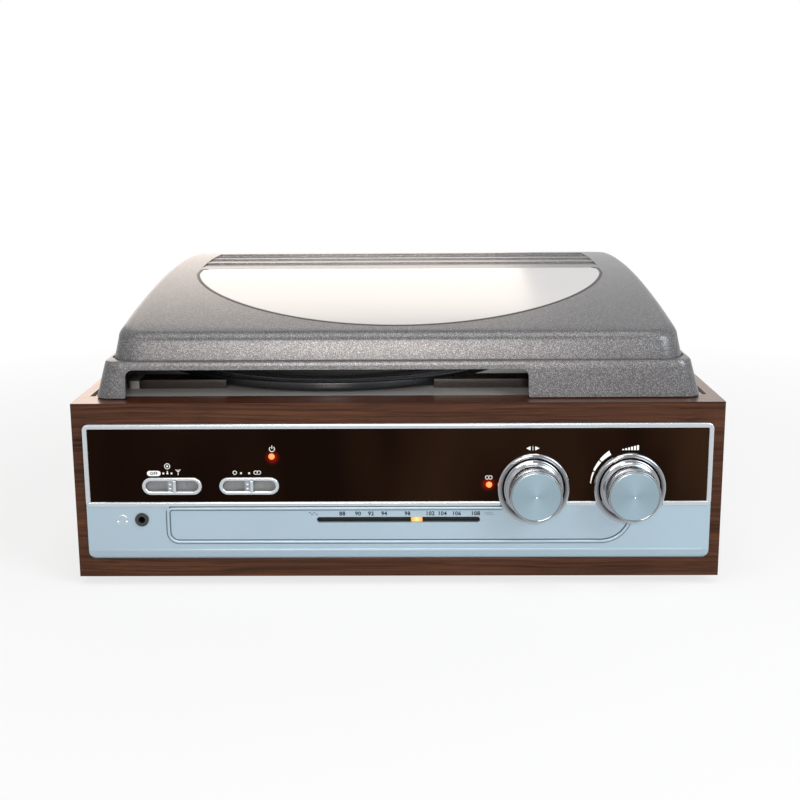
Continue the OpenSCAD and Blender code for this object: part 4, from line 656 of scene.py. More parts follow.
# %% Stations
side_front_y = np.concatenate([[152, 151.3, 150.4, 149.2, 147, 143], np.linspace(138, 34.6, 18)])
rib_rows = (RIB_Y0 + RIB_PITCH * np.arange(4)[:, None]
            + [0, RIB_PITCH / 2, RIB_PITCH - 0.06]).reshape(-1)
side_rear_y = np.concatenate([rib_rows, [241.0, 244.0, 246.9]])
corner = np.linspace(0, 1, 11)[1:-1]
gap_arc = GAP_R * (1 - np.cos(np.radians(np.linspace(0, 90, 7))))
front_x = np.concatenate([
    [-FRONT_HALF, -143], GAP_X0 + gap_arc, np.linspace(-130, 58, 34), (GAP_X1 - gap_arc)[::-1],
    [70, 76, 88, 100, 112, 124, 136, 143, FRONT_HALF]])
outer_columns = np.linspace(1, 0, 5)
chord_x = np.linspace(-CHORD_HALF, CHORD_HALF, 41)
rear_x = np.zeros(2 * len(outer_columns) + len(chord_x) + 2)
LEFT, FRONT, RIGHT, REAR = 0, 2, 4, 6
STRETCHES = [(LEFT, side_front_y), (1, corner), (FRONT, front_x), (3, corner),
             (RIGHT, side_front_y[::-1]), (RIGHT, side_rear_y), (5, corner), (REAR, rear_x),
             (7, corner), (LEFT, side_rear_y[::-1])]
stretch = np.concatenate([np.full(len(values), number) for number, values in STRETCHES])
share = np.concatenate([values for _, values in STRETCHES])
first_rear = sum(len(values) for _, values in STRETCHES[:5])
print(len(stretch), "stations round the lid")

# %% [markdown]
# ### A level of the wall
#
# A level is a rounded rectangle. The side stations hold a distance from the front, which each sheet
# turns into a share of its own straight stretch, so that outer and inner sheet keep the same
# stations although the inner one is smaller.


# %% Rounded rectangle
def place_stations(t, half, y0, y1, r, front=None):
    """X and Y of all stations on a rounded rectangle. Half may vary from station to station. A
    front value gives the front stations' own X, held inside the corners."""
    half = np.broadcast_to(half, stretch.shape)
    cosine, sine = np.cos(np.radians(90 * share)), np.sin(np.radians(90 * share))
    flat = half - r
    side = y0 + r + t * (y1 - y0 - 2 * r)
    level = share / FRONT_HALF * flat if front is None else np.clip(front, -flat, flat)
    x = np.choose(stretch, [-half, -flat - r * cosine, level, flat + r * sine, half,
                            flat + r * cosine, share * flat, -flat - r * sine])
    y = np.choose(stretch, [side, y0 + r - r * sine, y0, y0 + r - r * cosine, side,
                            y1 - r + r * sine, y1, y1 - r + r * cosine])
    return x, y


def dome_frame(inset, turn):
    """Edge radius, corner radius, front and rear of the dome's level where its rounded edge has
    turned by that angle. None is the dome's foot."""
    e, r = max(EDGE_R - inset, 1), max(DOME_CORNER - inset, 2)
    bend = e * (1 - math.cos(math.radians(turn or 0)))
    front, rear = (0 if turn is None else arch(y) - inset - e - SKIRT_Z
                   for y in (DOME_Y0 + 4, DOME_Y1 - 4))
    y0, y1 = DOME_Y0 + inset + FRONT_LEAN * front, DOME_Y1 - inset - LEAN * rear
    return e, r, y0 + bend, y1 - bend


print("dome's foot from", [round(float(y), 1) for y in dome_frame(0, None)[2:]])

# %% [markdown]
# ### Levels of dome and skirt
#
# The dome's wall leans in towards the arch and ends in a rounded edge, which is a few levels of a
# quarter turn. The skirt below it leans in less. Both stand on the same stations.


# %% Dome and skirt levels
def side_shares(inset):
    """Share of the straight side at each side station, from its wanted distance to the front. The
    inner sheet's stations near the window's chord move 3 mm forward, under the window's lip."""
    _, r, y0, y1 = dome_frame(inset, 90)
    wanted = np.where(np.isin(stretch, (LEFT, RIGHT)), share, 100.0)
    if inset:
        wanted = wanted - LIP * np.clip((wanted - 100) / 52, 0, 1) * (wanted <= WINDOW_Y)
    return (wanted - y0 - r) / (y1 - y0 - 2 * r)


def dome_level(inset, turn, t):
    """All stations on one level of the dome, as points. At turn a the wall has moved in by
    e (1 - cos a) and stands e (1 - sin a) below the arch."""
    e, r, y0, y1 = dome_frame(inset, turn)
    angle = math.radians(turn or 0)
    y = place_stations(t, FOOT_HALF, y0, y1, r)[1]
    wall_top = np.full_like(y, SKIRT_Z) if turn is None else arch(y) - inset - e
    half = FOOT_HALF - inset - LEAN * (wall_top - SKIRT_Z) - e * (1 - math.cos(angle))
    x, y = place_stations(t, half, y0, y1, r)
    return np.stack([x, y, wall_top + e * math.sin(angle)], -1)


def skirt_level(inset, z, t, squeeze=0.0):
    """All stations on the skirt at height z, where z may vary from station to station. The skirt
    leans in by 5.2 mm at the sides and 1.5 mm at the front over its height."""
    z = np.broadcast_to(np.asarray(z, float), stretch.shape)
    up = (z - LID_Z) / (SKIRT_Z - LID_Z)
    r = max(SKIRT_CORNER - inset, 2)
    off = inset + squeeze
    x = place_stations(t, LID_HALF - off - SKIRT_LEAN * up, 0, 100, r, front=share)[0]
    y = place_stations(t, LID_HALF, LID_Y0 + off + SKIRT_TILT * up, LID_Y1 - off, r)[1]
    return np.stack([x, y, z], -1)


print("dome corners have", corner.size, "inner stations each")

# %% [markdown]
# ### The window's outline
#
# The window is a half disc with blunted tips. Seen from the middle of its straight edge, its rim
# has one distance for each angle: the small corner near the edge, then a short straight stretch,
# then the circle. A smaller copy of it bounds the lip that carries the pane.


# %% Window outline
def rim_points(a, inset):
    """Places on the rim, from the left tip (a = 0) round the front to the right tip (a = pi), for
    an outline drawn in by inset. The distance from the middle of the chord is the nearest of
    corner, straight tip and circle."""
    c, s = np.abs(np.cos(a)), np.sin(a)
    radius, tip = WINDOW_R - inset, WINDOW_R - 1 - inset
    circle = -inset * s + np.sqrt(np.maximum(radius ** 2 - inset ** 2 * (1 - s ** 2), 0))
    straight = tip / np.maximum(c, 1e-6)
    corner_x = CHORD_HALF - inset
    along = corner_x * c + 3 * s
    rounded = along + np.sqrt(np.maximum(along ** 2 - corner_x ** 2, 0))
    near_tip = np.minimum(a, np.pi - a) < np.arctan2(3, tip)
    distance = np.where(near_tip, rounded, np.minimum(straight, circle))
    return np.stack([-distance * np.cos(a), WINDOW_Y - inset - distance * s], -1)


print("window is", round(float(np.ptp(rim_points(np.array([0, np.pi]), 0)[:, 0])), 1), "mm wide")

# %% [markdown]
# ### Top of the lid
#
# In front of the window's chord, rays run from the window's rim to the edge of the top. Behind it
# rows and columns carry the stepped ribs: each rib falls to the rear and ends at the next riser.


# %% Top sheets
def rib_height(x, y):
    """Height of the ribbed top. Each rib runs straight from the arch down to a step below it."""
    number = np.clip(np.floor((y - RIB_Y0) / RIB_PITCH), 0, 3)
    start = RIB_Y0 + RIB_PITCH * number
    fall = arch(start + RIB_PITCH) - RIB_STEP - arch(start)
    ribbed = (np.abs(x) <= WINDOW_R + 0.01) & (y > RIB_Y0) & (y < RIB_Y0 + 4 * RIB_PITCH - 0.01)
    return np.where(ribbed, arch(start) + (y - start) / RIB_PITCH * fall, arch(y))


def top_columns(half, lip):
    """X of the columns behind the chord: five on each side out to half, and those of the chord."""
    half = np.asarray(half, float).reshape(-1, 1)
    outer = COLUMN_X + (half - COLUMN_X) * outer_columns
    tip = np.full_like(half, WINDOW_R)
    chord = np.tile(chord_x * (CHORD_HALF - lip) / CHORD_HALF, (len(half), 1))
    return np.hstack([-outer, -tip, chord, tip, outer[:, ::-1]])


def top_sheets(ring, inset, lip):
    """Front and rear part of the top inside the ring of stations, as two grids, and the outline of
    the window's opening in them."""
    tip = CHORD_HALF - lip
    front = ring[:first_rear]
    wide = front[-1, 0]
    columns = np.r_[tip, WINDOW_R, COLUMN_X + (wide - COLUMN_X) * outer_columns[::-1]]
    reach = (columns - tip) / (wide - tip)
    a = np.arctan2(WINDOW_Y - np.minimum(ring_angle[:, 1], WINDOW_Y), -ring_angle[:, 0])
    inner = rim_points(a, lip)
    across = inner[None] + reach[:, None, None] * (front[None, :, :2] - inner[None])
    front_grid = np.concatenate([across, (arch(across[..., 1]) - inset)[..., None]], -1)

    last = first_rear + len(side_rear_y) + len(corner)
    rows = ring[first_rear - 1:last + 1]
    x = top_columns(rows[:, 0], lip)
    y = np.tile(rows[:, 1:2], (1, x.shape[1]))
    z = (rib_height(x, y) if inset == 0 else arch(y)) - inset
    rear_grid = np.stack([x, y, z], -1)
    opening = np.concatenate([front_grid[0], rear_grid[0, 6:-6][::-1][1:-1]])
    return front_grid, rear_grid, opening


print("the ribs fall to", round(float(rib_height(0, RIB_Y0 + RIB_PITCH - 0.1)), 1), "mm")

# %% [markdown]
# ### Both sheets of the lid
#
# The rear row of stations must meet the rear row of columns, so the stations there take over the
# columns' places before a sheet's levels are built.

# %% Sheets of the lid
ring_angle = dome_level(0, 90, side_shares(0))[:first_rear]
grids, closed = [], []


def sheet(inset, lip):
    """Every level of one sheet from the top's edge down to the rim, the two top grids and the
    window's opening. Returns what the strips between both sheets need."""
    e, r, _, y1 = dome_frame(inset, 90)
    half = FOOT_HALF - inset - LEAN * (arch(y1) - inset - e - SKIRT_Z) - e - r
    share[stretch == REAR] = top_columns(half, lip)[0, ::-1] / half
    t = side_shares(inset)
    levels = [dome_level(inset, turn, t) for turn in (90, 78, 64, 48, 32, 16, 0, None)]
    front_grid, rear_grid, opening = top_sheets(levels[0], inset, lip)
    grids.extend([front_grid, rear_grid])
    if inset == 0:
        _, r, y0, y1 = dome_frame(0, None)
        for grow, z in ((0.0, SKIRT_Z - GROOVE), (LEDGE, SKIRT_Z - GROOVE), (LEDGE, SKIRT_Z)):
            x, y = place_stations(t, FOOT_HALF + grow, y0 - grow, y1 + grow, r + grow)
            levels.append(np.stack([x, y, np.full_like(x, z)], -1))
        levels += [skirt_level(0, SKIRT_Z - drop, t, squeeze)
                   for squeeze, drop in ((1.0, 0.0), (0.3, 0.3), (0.0, 1.0))]
    else:
        levels[-1][:, 2] = SKIRT_Z - WALL
        levels.append(skirt_level(inset, SKIRT_Z - WALL, t))
    x, _, start = levels[-1].T
    in_gap = (stretch == FRONT) & (x > GAP_X0 - 0.01) & (x < GAP_X1 + 0.01)
    near = np.clip(np.minimum(x - GAP_X0, GAP_X1 - x), 0, GAP_R)
    rise = np.sqrt(np.maximum(GAP_R ** 2 - (GAP_R - near) ** 2, 0))
    end = GAP_TOP - GAP_R + np.where(in_gap, rise, 0)
    levels += [skirt_level(inset, start + part * (end - start), t) for part in (0.5, 1.0)]
    closed.append(len(grids))
    grids.append(np.stack(levels))
    gap_ids = np.flatnonzero(in_gap)
    order = np.r_[gap_ids[-1]:len(stretch), 0:gap_ids[0] + 1]
    lower = [levels[-1][order]]
    for z in (101.0, 97.5, 95.2, 94.3, 93.7, LID_Z):
        squeeze = 0.4 if z == LID_Z and not inset else 0
        level = skirt_level(inset, z, t, squeeze)[order]
        ease = 1.5 - math.sqrt(1.5 ** 2 - max(1.5 - (z - LID_Z), 0) ** 2)
        level[[0, -1], 0] += [ease, -ease]
        lower.append(level)
    lower = np.stack(lower)
    grids.append(lower)
    gap_edge = np.concatenate([lower[::-1, -1], levels[-1][gap_ids][1:-1], lower[:, 0]])
    return opening, lower[-1], gap_edge


outer_opening, outer_rim, outer_gap = sheet(0.0, 0.0)
inner_opening, inner_rim, inner_gap = sheet(WALL, LIP)
print(len(grids), "grids in the lid")

# %% [markdown]
# ### Closing the lid
#
# Both sheets keep the same stations, so a plain strip joins them along the skirt's rim, round the
# gap, and down the seat of the window, with its lip 1.5 mm below the top.

# %% Lid as one closed mesh
closed.append(len(grids))
grids += [np.stack([outer_opening, outer_opening - [0, 0, SEAT],
                    inner_opening + [0, 0, WALL - SEAT], inner_opening]),
          np.stack([outer_rim, inner_rim]), np.stack([outer_gap, inner_gap])]
starts = np.cumsum([0] + [grid.shape[0] * grid.shape[1] for grid in grids])
faces = [grid_faces(*grid.shape[:2], closed_columns=number in closed) + starts[number]
         for number, grid in enumerate(grids)]
lid = make_piece("lid_shell_smooth", np.concatenate([grid.reshape(-1, 3) for grid in grids]),
                 np.concatenate(faces), "lid", "lid_smoke", replaces=["lid_shell"], sharp=30)
print("lid:", len(lid.data.polygons), "faces")

# %% [markdown]
# ## The clear window
#
# The pane fills the opening flush with the arch. Rays run from a point inside it to its rim, and
# the same rays lower down make its underside. A thin dark line shows along its curved rim, the
# shade in the joint, so a narrow black bead lies over the joint as a painted shadow.

# %% Window pane and its seam
PANE_T = 1.4
tip_angles = np.linspace(0, 0.16, 14)
angles = np.concatenate([tip_angles, np.linspace(0.18, math.pi - 0.18, 70),
                         math.pi - tip_angles[::-1]])


def pane_sheet(depth, bevel=0.0, inset=0.12):
    """Rays from a point inside the pane to its rim, drawn in by a small bevel, as a grid."""
    rim = rim_points(angles, inset)
    edge = np.stack([np.linspace(rim[-1, 0], rim[0, 0], 42)[1:-1], np.full(40, rim[0, 1])], -1)
    rim = np.vstack([rim, edge])
    middle = np.array([0.0, 104.0])
    reach = np.array([0, 0.12, 0.24, 0.36, 0.48, 0.6, 0.7, 0.8, 0.88, 0.94, 0.98, 1])
    flat = middle + (rim - middle) * reach[:, None, None]
    length = np.linalg.norm(rim - middle, axis=-1, keepdims=True)
    flat[-1] = rim - (rim - middle) / length * bevel
    return np.concatenate([flat, (arch(flat[..., 1]) - depth)[..., None]], -1)


bottom = pane_sheet(PANE_T)
pane_grid = np.concatenate([pane_sheet(0.0, 0.35), pane_sheet(0.35)[-1:], bottom[-1:],
                            bottom[-2::-1]])
make_piece("lid_window_pane", pane_grid, grid_faces(*pane_grid.shape[:2], closed_columns=True),
           "lid", "window_clear", replaces=["lid_window"], sharp=50)
# painted shadow: a narrow black bead along the curved rim stands for the shade in the joint
seam_shadow_rings = []
for inset, rise in ((-0.9, -0.03), (-0.85, 0.03), (-0.4, 0.13), (0.1, 0.16), (0.6, 0.13),
                    (1.05, 0.03), (1.1, -0.03)):
    line = rim_points(angles, inset)
    seam_shadow_rings.append(np.column_stack([line, arch(line[:, 1]) + rise]))
make_piece("window_seam_shadow", seam_shadow_rings, grid_faces(len(seam_shadow_rings), len(angles), closed_rows=True),
           "lid", "black_plastic", sharp=60, join=False)
print("pane:", pane_grid.size // 3, "points")

# %% [markdown]
# ## The two knobs
#
# A knob is turned on a lathe, so its profile is drawn once and carried round the axis. The profile
# has the flange at the foot, a soft fillet, the slightly tapered drum, a rolled rim and the step
# down to the spun face. The drum of the real knob is finely grooved; the grooves are cut into the
# surface here by letting the radius swing with the angle.

# %% Knob bodies
BORE, DRUM_R, KNOB_FLOOR = 3.01, 13.66, 17.71
drum = np.arange(1, 11) / 10
roll = np.radians(np.arange(15, 91, 15))
knob_profile = np.vstack([
    [(BORE, 2.2), (15.0, 2.2), (15.35, 2.35), (15.4, 2.75), (15.4, 3.15), (15.2, 3.4)],
    [(14.75, 3.55), (14.3, 3.62), (13.9, 3.8), (13.72, 4.1), (DRUM_R, 4.5)],
    np.column_stack([DRUM_R - 0.28 * drum, 4.5 + 12.6 * drum]),
    np.column_stack([12.95 + 0.45 * np.cos(roll), 17.3 + 1.09 * np.sin(roll)]),
    [(12.6, 18.36), (12.4, 18.3), (12.34, 18.2), (12.33, KNOB_FLOOR), (BORE, KNOB_FLOOR)]])


def knob_body(label, x, segments=360, grooves=90, groove=0.05):
    """The knob's profile carried round its axis. Between the fillet and the rim the radius swings
    by 0.05 mm, 90 times a turn, which makes the fine upright grooves of the drum."""
    radius, depth = knob_profile[:, :1], knob_profile[:, 1:]
    angle = np.linspace(0, 2 * np.pi, segments, endpoint=False)
    grooved = (depth > 4.6) & (depth < 17.2) & (radius > 13)
    radius = radius + groove * np.cos(grooves * angle) * grooved
    points = np.stack([x + radius * np.cos(angle), np.broadcast_to(-depth, radius.shape),
                       KNOB_Z + radius * np.sin(angle)], -1)
    grid = grid_faces(*radius.shape, closed_rows=True, closed_columns=True)
    make_piece(f"{label}_knob_smooth", points, grid, label, "chrome", replaces=[f"{label}_knob"],
               sharp=40, join=False)


for label, x in KNOB_XS.items():
    knob_body(label, x)
print("knobs of", len(knob_profile), "profile points")

# %% [markdown]
# ## Spun faces and bezel rings
#
# The face of a knob is dished by a tenth of a millimetre and has a small dimple in its middle, with
# fine turned steps. They catch the light as the two bright fans of spun metal. The chrome ring
# round each knob is a rounded section carried round the same axis.

# %% Knob faces and bezel rings
FACE_R = 12.2
radius = np.r_[0.0, np.linspace(0.4, FACE_R, 60)]
dish = 18.22 - 0.12 * (1 - (radius / FACE_R) ** 2) + 0.012 * np.cos(radius * np.pi / 0.4)
dish[:3] -= [0.12, 0.10, 0.03]
face_profile = np.vstack([np.stack([radius, dish], -1), [[12.3, 18.16], [12.3, 17.72], [0, 17.72]]])
turn = np.radians(np.linspace(205, -32, 22))
ring_section = np.vstack([[(16.0, -0.02), (16.0, 0.5)],
                          np.column_stack([17.35 + 1.4 * np.cos(turn), 1.36 + 1.42 * np.sin(turn)]),
                          [(18.6, 0.4), (18.6, -0.02)]])
ring_points, ring_faces = [], []
for label, x in KNOB_XS.items():
    points, faces = revolve(face_profile * [1, -1], (x, 0, KNOB_Z), "y", 180)
    make_piece(f"{label}_face_smooth", points, faces, label, "spun_face",
               "volume_face" if label == "volume" else None,
               replaces=[f"{label}_knob_face"], sharp=40)
    points, faces = revolve(ring_section * [1, -1], (x, FACE_Y, KNOB_Z), "y", 160, closed=True)
    ring_faces.append(faces + len(points) * len(ring_points))
    ring_points.append(points)
make_piece("knob_rings_smooth", ring_points, np.concatenate(ring_faces), "cabinet", "chrome",
           replaces=["knob_rings"], sharp=45, join=False)
print("faces and rings are turned")

# %% [markdown]
# ## Platter and mat
#
# Through the gap in the lid the camera sees the platter's rounded edge and the mat's fine rings, so
# both are turned with more care than the CAD discs: a rolled edge, a bevel under it, and the mat's
# rings as low waves.

# %% Turned platter and mat
SPIN = (-36.5, 125.0, 0)
roll = np.radians(np.linspace(0, 90, 10))
platter_profile = np.vstack([
    [(3.21, 88.5), (12, 88.5), (12, 96.7), (62, 96.7), (62, 89.5), (65, 89.5), (65, 96.7)],
    [(97.5, 96.7), (97.5, 94.3), (98.9, 94.2), (99.5, 94.35), (99.85, 94.8), (99.98, 95.6)],
    np.column_stack([98.4 + 1.6 * np.cos(roll), 97.6 + 1.6 * np.sin(roll)]),
    [(96.5, 99.2), (96.3, 99.05), (95.9, 99.05), (95.7, 99.2), (88.0, 99.2), (87.6, 98.95)],
    [(86.4, 98.95), (86.0, 99.19), (3.21, 99.19)]])
radius = np.linspace(84.2, 9.0, 300)
wave = 0.16 * (np.cos((radius - 9) * 2 * np.pi / 1.25) - 1)
mat_top = np.stack([radius, 101.0 + np.where((radius > 14) & (radius < 82), wave, 0)], -1)
mat_profile = np.vstack([[(3.9, 99.2), (84.9, 99.2), (85.0, 99.4), (85.0, 100.6), (84.8, 100.9)],
                         mat_top, [(4.2, 101.0), (3.9, 100.8)]])
for node, profile, segments, slot, sharp in (
        ("platter", platter_profile, 256, "platter_alloy", 40),
        ("platter_mat", mat_profile, 200, "rubber", 60)):
    make_piece(f"{node}_smooth", *revolve(profile, SPIN, "z", segments, closed=True), "platter",
               slot, replaces=[node], sharp=sharp, join=False)
    print(node, "is turned from", len(profile), "points")

# %% [markdown]
# ## Raised trims of the front
#
# The frame of the black band, the tray line below it and the rims of both switches are half-round
# lines. Each is a path in the plane of the front, with a half-round section swept along it. The
# frame and the tray line end in the knobs' rings, so their paths stop there.

# %% Swept trims
RING_R = 19.0


def ridge(name, path, width, height, slot="bright_plastic", closed=True, power=0.6, finish=None):
    """A rounded bar along a path on the front. At each point the section runs sideways by
    width/2 c |c|^(power - 1) and forward by height s^power, with c, s = cos a, sin a, and
    a from 0 to 180 degrees; a power under 1 gives a flatter top than a half circle."""
    path = np.asarray(path, float)
    if not closed:
        start, end = path[1] - path[0], path[-2] - path[-1]
        path = np.vstack([path[:1], path[0] + 0.3 * start / np.linalg.norm(start), path[1:-1],
                          path[-1] + 0.3 * end / np.linalg.norm(end), path[-1:]])
    behind = np.roll(path, 1, axis=0) if closed else np.vstack([path[:1], path[:-1]])
    ahead = np.roll(path, -1, axis=0) if closed else np.vstack([path[1:], path[-1:]])
    along = (ahead - behind) / np.linalg.norm(ahead - behind, axis=1, keepdims=True)
    across = np.stack([-along[:, 1], along[:, 0]], axis=-1)
    angle = np.linspace(0, np.pi, 17)
    cosine, sine = np.cos(angle), np.abs(np.sin(angle))
    side = width / 2 * np.sign(cosine) * np.abs(cosine) ** power
    taper = np.ones((len(path), 1))
    if not closed:
        taper[[0, -1]] = 0.05
    flat = path[:, None] + across[:, None] * (side * taper)[..., None]
    depth = FACE_Y - height * sine ** power * taper
    depth[:, [0, -1]] = FACE_Y + 0.15
    points = np.stack([flat[..., 0], depth, flat[..., 1]], axis=-1)
    faces = grid_faces(len(path), len(angle), closed_rows=closed, closed_columns=True)
    make_piece(name, points, faces, "cabinet", slot, finish, sharp=50)


def stadium(x0, x1, z, width, steps=14):
    """Outline of a level slot with round ends."""
    r = width / 2
    return np.concatenate([arc_points((x1 - r, z), r, -90, 90, steps),
                           arc_points((x0 + r, z), r, 90, 270, steps)])


def ring_end(knob, side, z):
    """Where a level line at height z meets the ring round that knob."""
    return KNOB_XS[knob] + side * math.sqrt(RING_R ** 2 - (z - KNOB_Z) ** 2), z


print("the tuning ring meets the panel's middle at", round(ring_end("tuning", -1, KNOB_Z)[0], 1))

# %% [markdown]
# ### The frame of the black band
#
# The frame is one line that starts at the right ring, runs round the band and ends at the left
# ring. A short piece joins both rings.

# %% Frame of the black band
LOW_Z, FRAME_W, FRAME_H = 39.7, 2.5, 0.9
outer = [[ring_end("volume", 1, LOW_Z), (159.4, LOW_Z)],
         arc_points((159.5, LOW_Z + 1.2), 1.2, -90, 0, 8),
         arc_points((158.9, 79.2), 1.8, 0, 90, 8), arc_points((-158.9, 79.2), 1.8, 90, 180, 8),
         arc_points((-159.5, LOW_Z + 1.2), 1.2, 180, 270, 8),
         [(-150.0, LOW_Z), ring_end("tuning", -1, LOW_Z)]]
ridge("fascia_frame", np.concatenate(outer), FRAME_W, FRAME_H, closed=False)
ridge("fascia_frame_middle",
      [ring_end("tuning", 1, LOW_Z), (95.0, LOW_Z), ring_end("volume", -1, LOW_Z)],
      FRAME_W, FRAME_H, closed=False)
print("the frame is swept")

# %% [markdown]
# ### Tray line, switch rims and bevel
#
# The shallow tray below the band is edged by a raised line. A wider, almost flat line in a dark
# tone lies under it, as the shadow that edges it in the photo. The switches have rims like it, and
# a faint crease marks where the panel's bevel starts.

# %% Tray line, rims and crease
TRAY_X0, TRAY_X1, TRAY_Z, TRAY_TOP = -119.4, 120.9, 19.2, 37.3
knob_axis = (KNOB_XS["volume"], KNOB_Z)
last_arc = arc_points((TRAY_X1 - 15.4, TRAY_Z + 15.4), 15.4, 330, 360, 8)
tray = np.concatenate([
    [ring_end("tuning", -1, TRAY_TOP), (-40.0, TRAY_TOP)],
    arc_points((TRAY_X0 + 2.4, TRAY_TOP - 2.4), 2.4, 90, 180, 8),
    arc_points((TRAY_X0 + 5.4, TRAY_Z + 5.4), 5.4, 180, 270, 10),
    arc_points((TRAY_X1 - 15.4, TRAY_Z + 15.4), 15.4, 270, 330, 14),
    last_arc[np.linalg.norm(last_arc - knob_axis, axis=1) > RING_R]])
ridge("tray_line", tray, 1.5, 0.95, "panel_silver", closed=False)
# painted shadow: a wide, almost flat dark line along the tray line
ridge("tray_painted_shadow", tray, 2.5, 0.05, "panel_silver", closed=False, finish="trim_shade")
for label, x in (("function", -116.7), ("stereo", -76.7)):
    ridge(f"{label}_bezel_rim", stadium(x - 14.55, x + 14.55, 49.5, 7.3), 1.9, 1.12)
ridge("bevel_crease", [(x, 14.45) for x in (-158.6, -100, 100, 158.6)], 1.5, 0.13,
      "panel_silver", closed=False, power=1.0)
print("trims are swept")

# %% [markdown]
# ## Slider grips
#
# The grip of each slider has a bright upright bar and two small marks, as in the photo. Behind it a
# thin shutter hides the slot that the slider's stem runs in. All of them ride on the slider, so
# they move with it.


# %% Slider grips
def block(name, body, x, y, z, bevel=0.15, slot="bright_plastic", finish=None):
    """An eight-cornered box from pairs of lower and upper x, y and z. Three rings of four corners
    make it: the back, the foot of the bevel, and the front, which the bevel draws in."""
    corners = np.array([(0, 0), (1, 0), (1, 1), (0, 1)])
    inwards = bevel * (1 - 2 * corners)
    flat = np.stack([np.take(x, corners[:, 0]), np.take(z, corners[:, 1])], -1)
    rings = [(y[1], flat), (y[0] + bevel, flat), (y[0], flat + inwards)]
    points = np.concatenate([np.insert(ring, 1, depth, axis=1) for depth, ring in rings])
    faces = [(0, 1, 2, 3), (8, 9, 10, 11), *grid_faces(3, 4, closed_columns=True)]
    make_piece(name, points, faces, body, slot, finish, sharp=20, join=False)


for label in ("function", "stereo"):
    low, high = node_box(f"{label}_slider")
    centre, body = (low + high) / 2, f"{label}_switch"
    block(f"{label}_grip_bar", body, (high[0] - 1.5, high[0]), (low[1] - 0.45, low[1] + 0.2),
          (low[2], high[2]))
    for step, z in enumerate((centre[2] - 1.1, centre[2] + 1.1)):
        block(f"{label}_grip_mark_{step}", body, (low[0] + 1.0, high[0] - 2.2),
              (low[1] - 0.3, low[1] + 0.2), (z - 0.45, z + 0.45))
    block(f"{label}_shutter", body, (centre[0] - 7.2, centre[0] + 7.2), (1.15, 1.45),
          (centre[2] - 2.3, centre[2] + 2.3), 0.1, "slider_grey", "recess_grey")
print("grips ride on the sliders")

# %% [markdown]
# ## Printed marks
#
# The marks are thin ink films, 0.03 mm high, shaped as real meshes. Only plain numbers, OFF and
# generic signs are used: numbers on the dial, dots for the switch places, a record, an aerial,
# rings for mono and stereo, and a growing wedge for loudness.

# %% Outlines and ink
INK = 0.03


def ink_piece(name, shapes, ink, y=FACE_Y, height=INK):
    """One mesh from flat outlines in x and z: each becomes a low prism on the front."""
    points, faces, count = [], [], 0
    for outline in shapes:
        outline = np.asarray(outline, float)
        size = len(outline)
        points += [np.insert(outline, 1, depth, axis=1) for depth in (y + 0.01, y - height)]
        ring = count + np.arange(size)
        ahead = np.roll(ring, -1)
        faces += [*np.stack([ring, ahead, ahead + size, ring + size], -1), ring[::-1], ring + size]
        count += 2 * size
    make_piece(name, np.concatenate(points), faces, "cabinet", "bright_plastic", ink, sharp=20,
               join=False)


def disc(x, z, r, steps=24):
    """Outline of a full round dot."""
    return arc_points((x, z), r, 0, 360 - 360 / steps, steps)


def arc_band(x, z, r0, r1, start, end, grow=0.0, steps=10):
    """Outline of a piece of a ring between two angles; its outer radius grows by `grow`."""
    unit = arc_points((0, 0), 1.0, start, end, steps)
    outer = unit * np.linspace(r1 + grow, r1, steps)[:, None]
    return np.concatenate([outer, (unit * r0)[::-1]]) + [x, z]


def ring_halves(x, z, r=1.1, width=0.32):
    """A thin ring as two half bands, so that each outline is simple."""
    return [arc_band(x, z, r - width, r, start, start + 180) for start in (0, 180)]


def bar(x0, x1, z0, z1):
    """Outline of a rectangle."""
    return [(x0, z0), (x1, z0), (x1, z1), (x0, z1)]


print("a full dot has", len(disc(0, 0, 1)), "points")

# %% [markdown]
# ### The signs
#
# Light ink on the black band and round the volume knob, dark ink on the silver panel. The waves
# beside the dial stand for a slow and a fast one.


# %% Signs
def wave_band(x0, x1, z, width, period, steps):
    """Outline of a wavy line: z + 0.75 sin(2 pi (x - x0) / period), half its width each side."""
    x = np.linspace(x0, x1, steps)
    swing = z + 0.75 * np.sin((x - x0) * 2 * np.pi / period)
    return np.concatenate([np.column_stack([x, swing + width / 2]),
                           np.column_stack([x, swing - width / 2])[::-1]])


SWITCH_DOTS = (-121.0, -118.9, -116.8, -80.8, -76.6)
WEDGE = ((119.5, 136.5, 21.75, 0.75), (138.2, 154.0, 21.05, 0.6), (156.0, 173.5, 20.45, 0.5))
light = [bar(x - 0.45, x + 0.45, 55.75, 56.65) for x in SWITCH_DOTS]
light += [bar(-119.12, -118.68, 56.6, 57.5), disc(-118.9, 60.0, 0.5)]
light += ring_halves(-118.9, 60.0, 1.55)
light += [bar(-113.5, -113.2, 55.3, 58.3), [(-113.35, 56.6), (-111.9, 58.3), (-112.3, 58.3),
                                            (-113.35, 57.1), (-114.4, 58.3), (-114.8, 58.3)]]
for x, z in ((-84.0, 56.5), (-73.2, 56.5), (-71.6, 56.5), (46.3, 53.6), (47.9, 53.6)):
    light += ring_halves(x, z)
light += [arc_band(-64.5, 69.0, 1.15, 1.5, -235, 55, steps=22), bar(-64.68, -64.32, 69.1, 70.9)]
light += [[(66.2, 69.0), (68.4, 67.9), (68.4, 70.1)], [(73.0, 69.0), (70.8, 70.1), (70.8, 67.9)],
          bar(69.45, 69.75, 67.9, 70.1)]
light += [bar(115.4 + 1.5 * step, 116.4 + 1.5 * step, 67.9, 68.5 + step * 0.4) for step in range(6)]
light += [arc_band(119.7, KNOB_Z, 20.0, reach, start, end, grow)
          for start, end, reach, grow in WEDGE]
ink_piece("printed_signs", light, "ink_light")
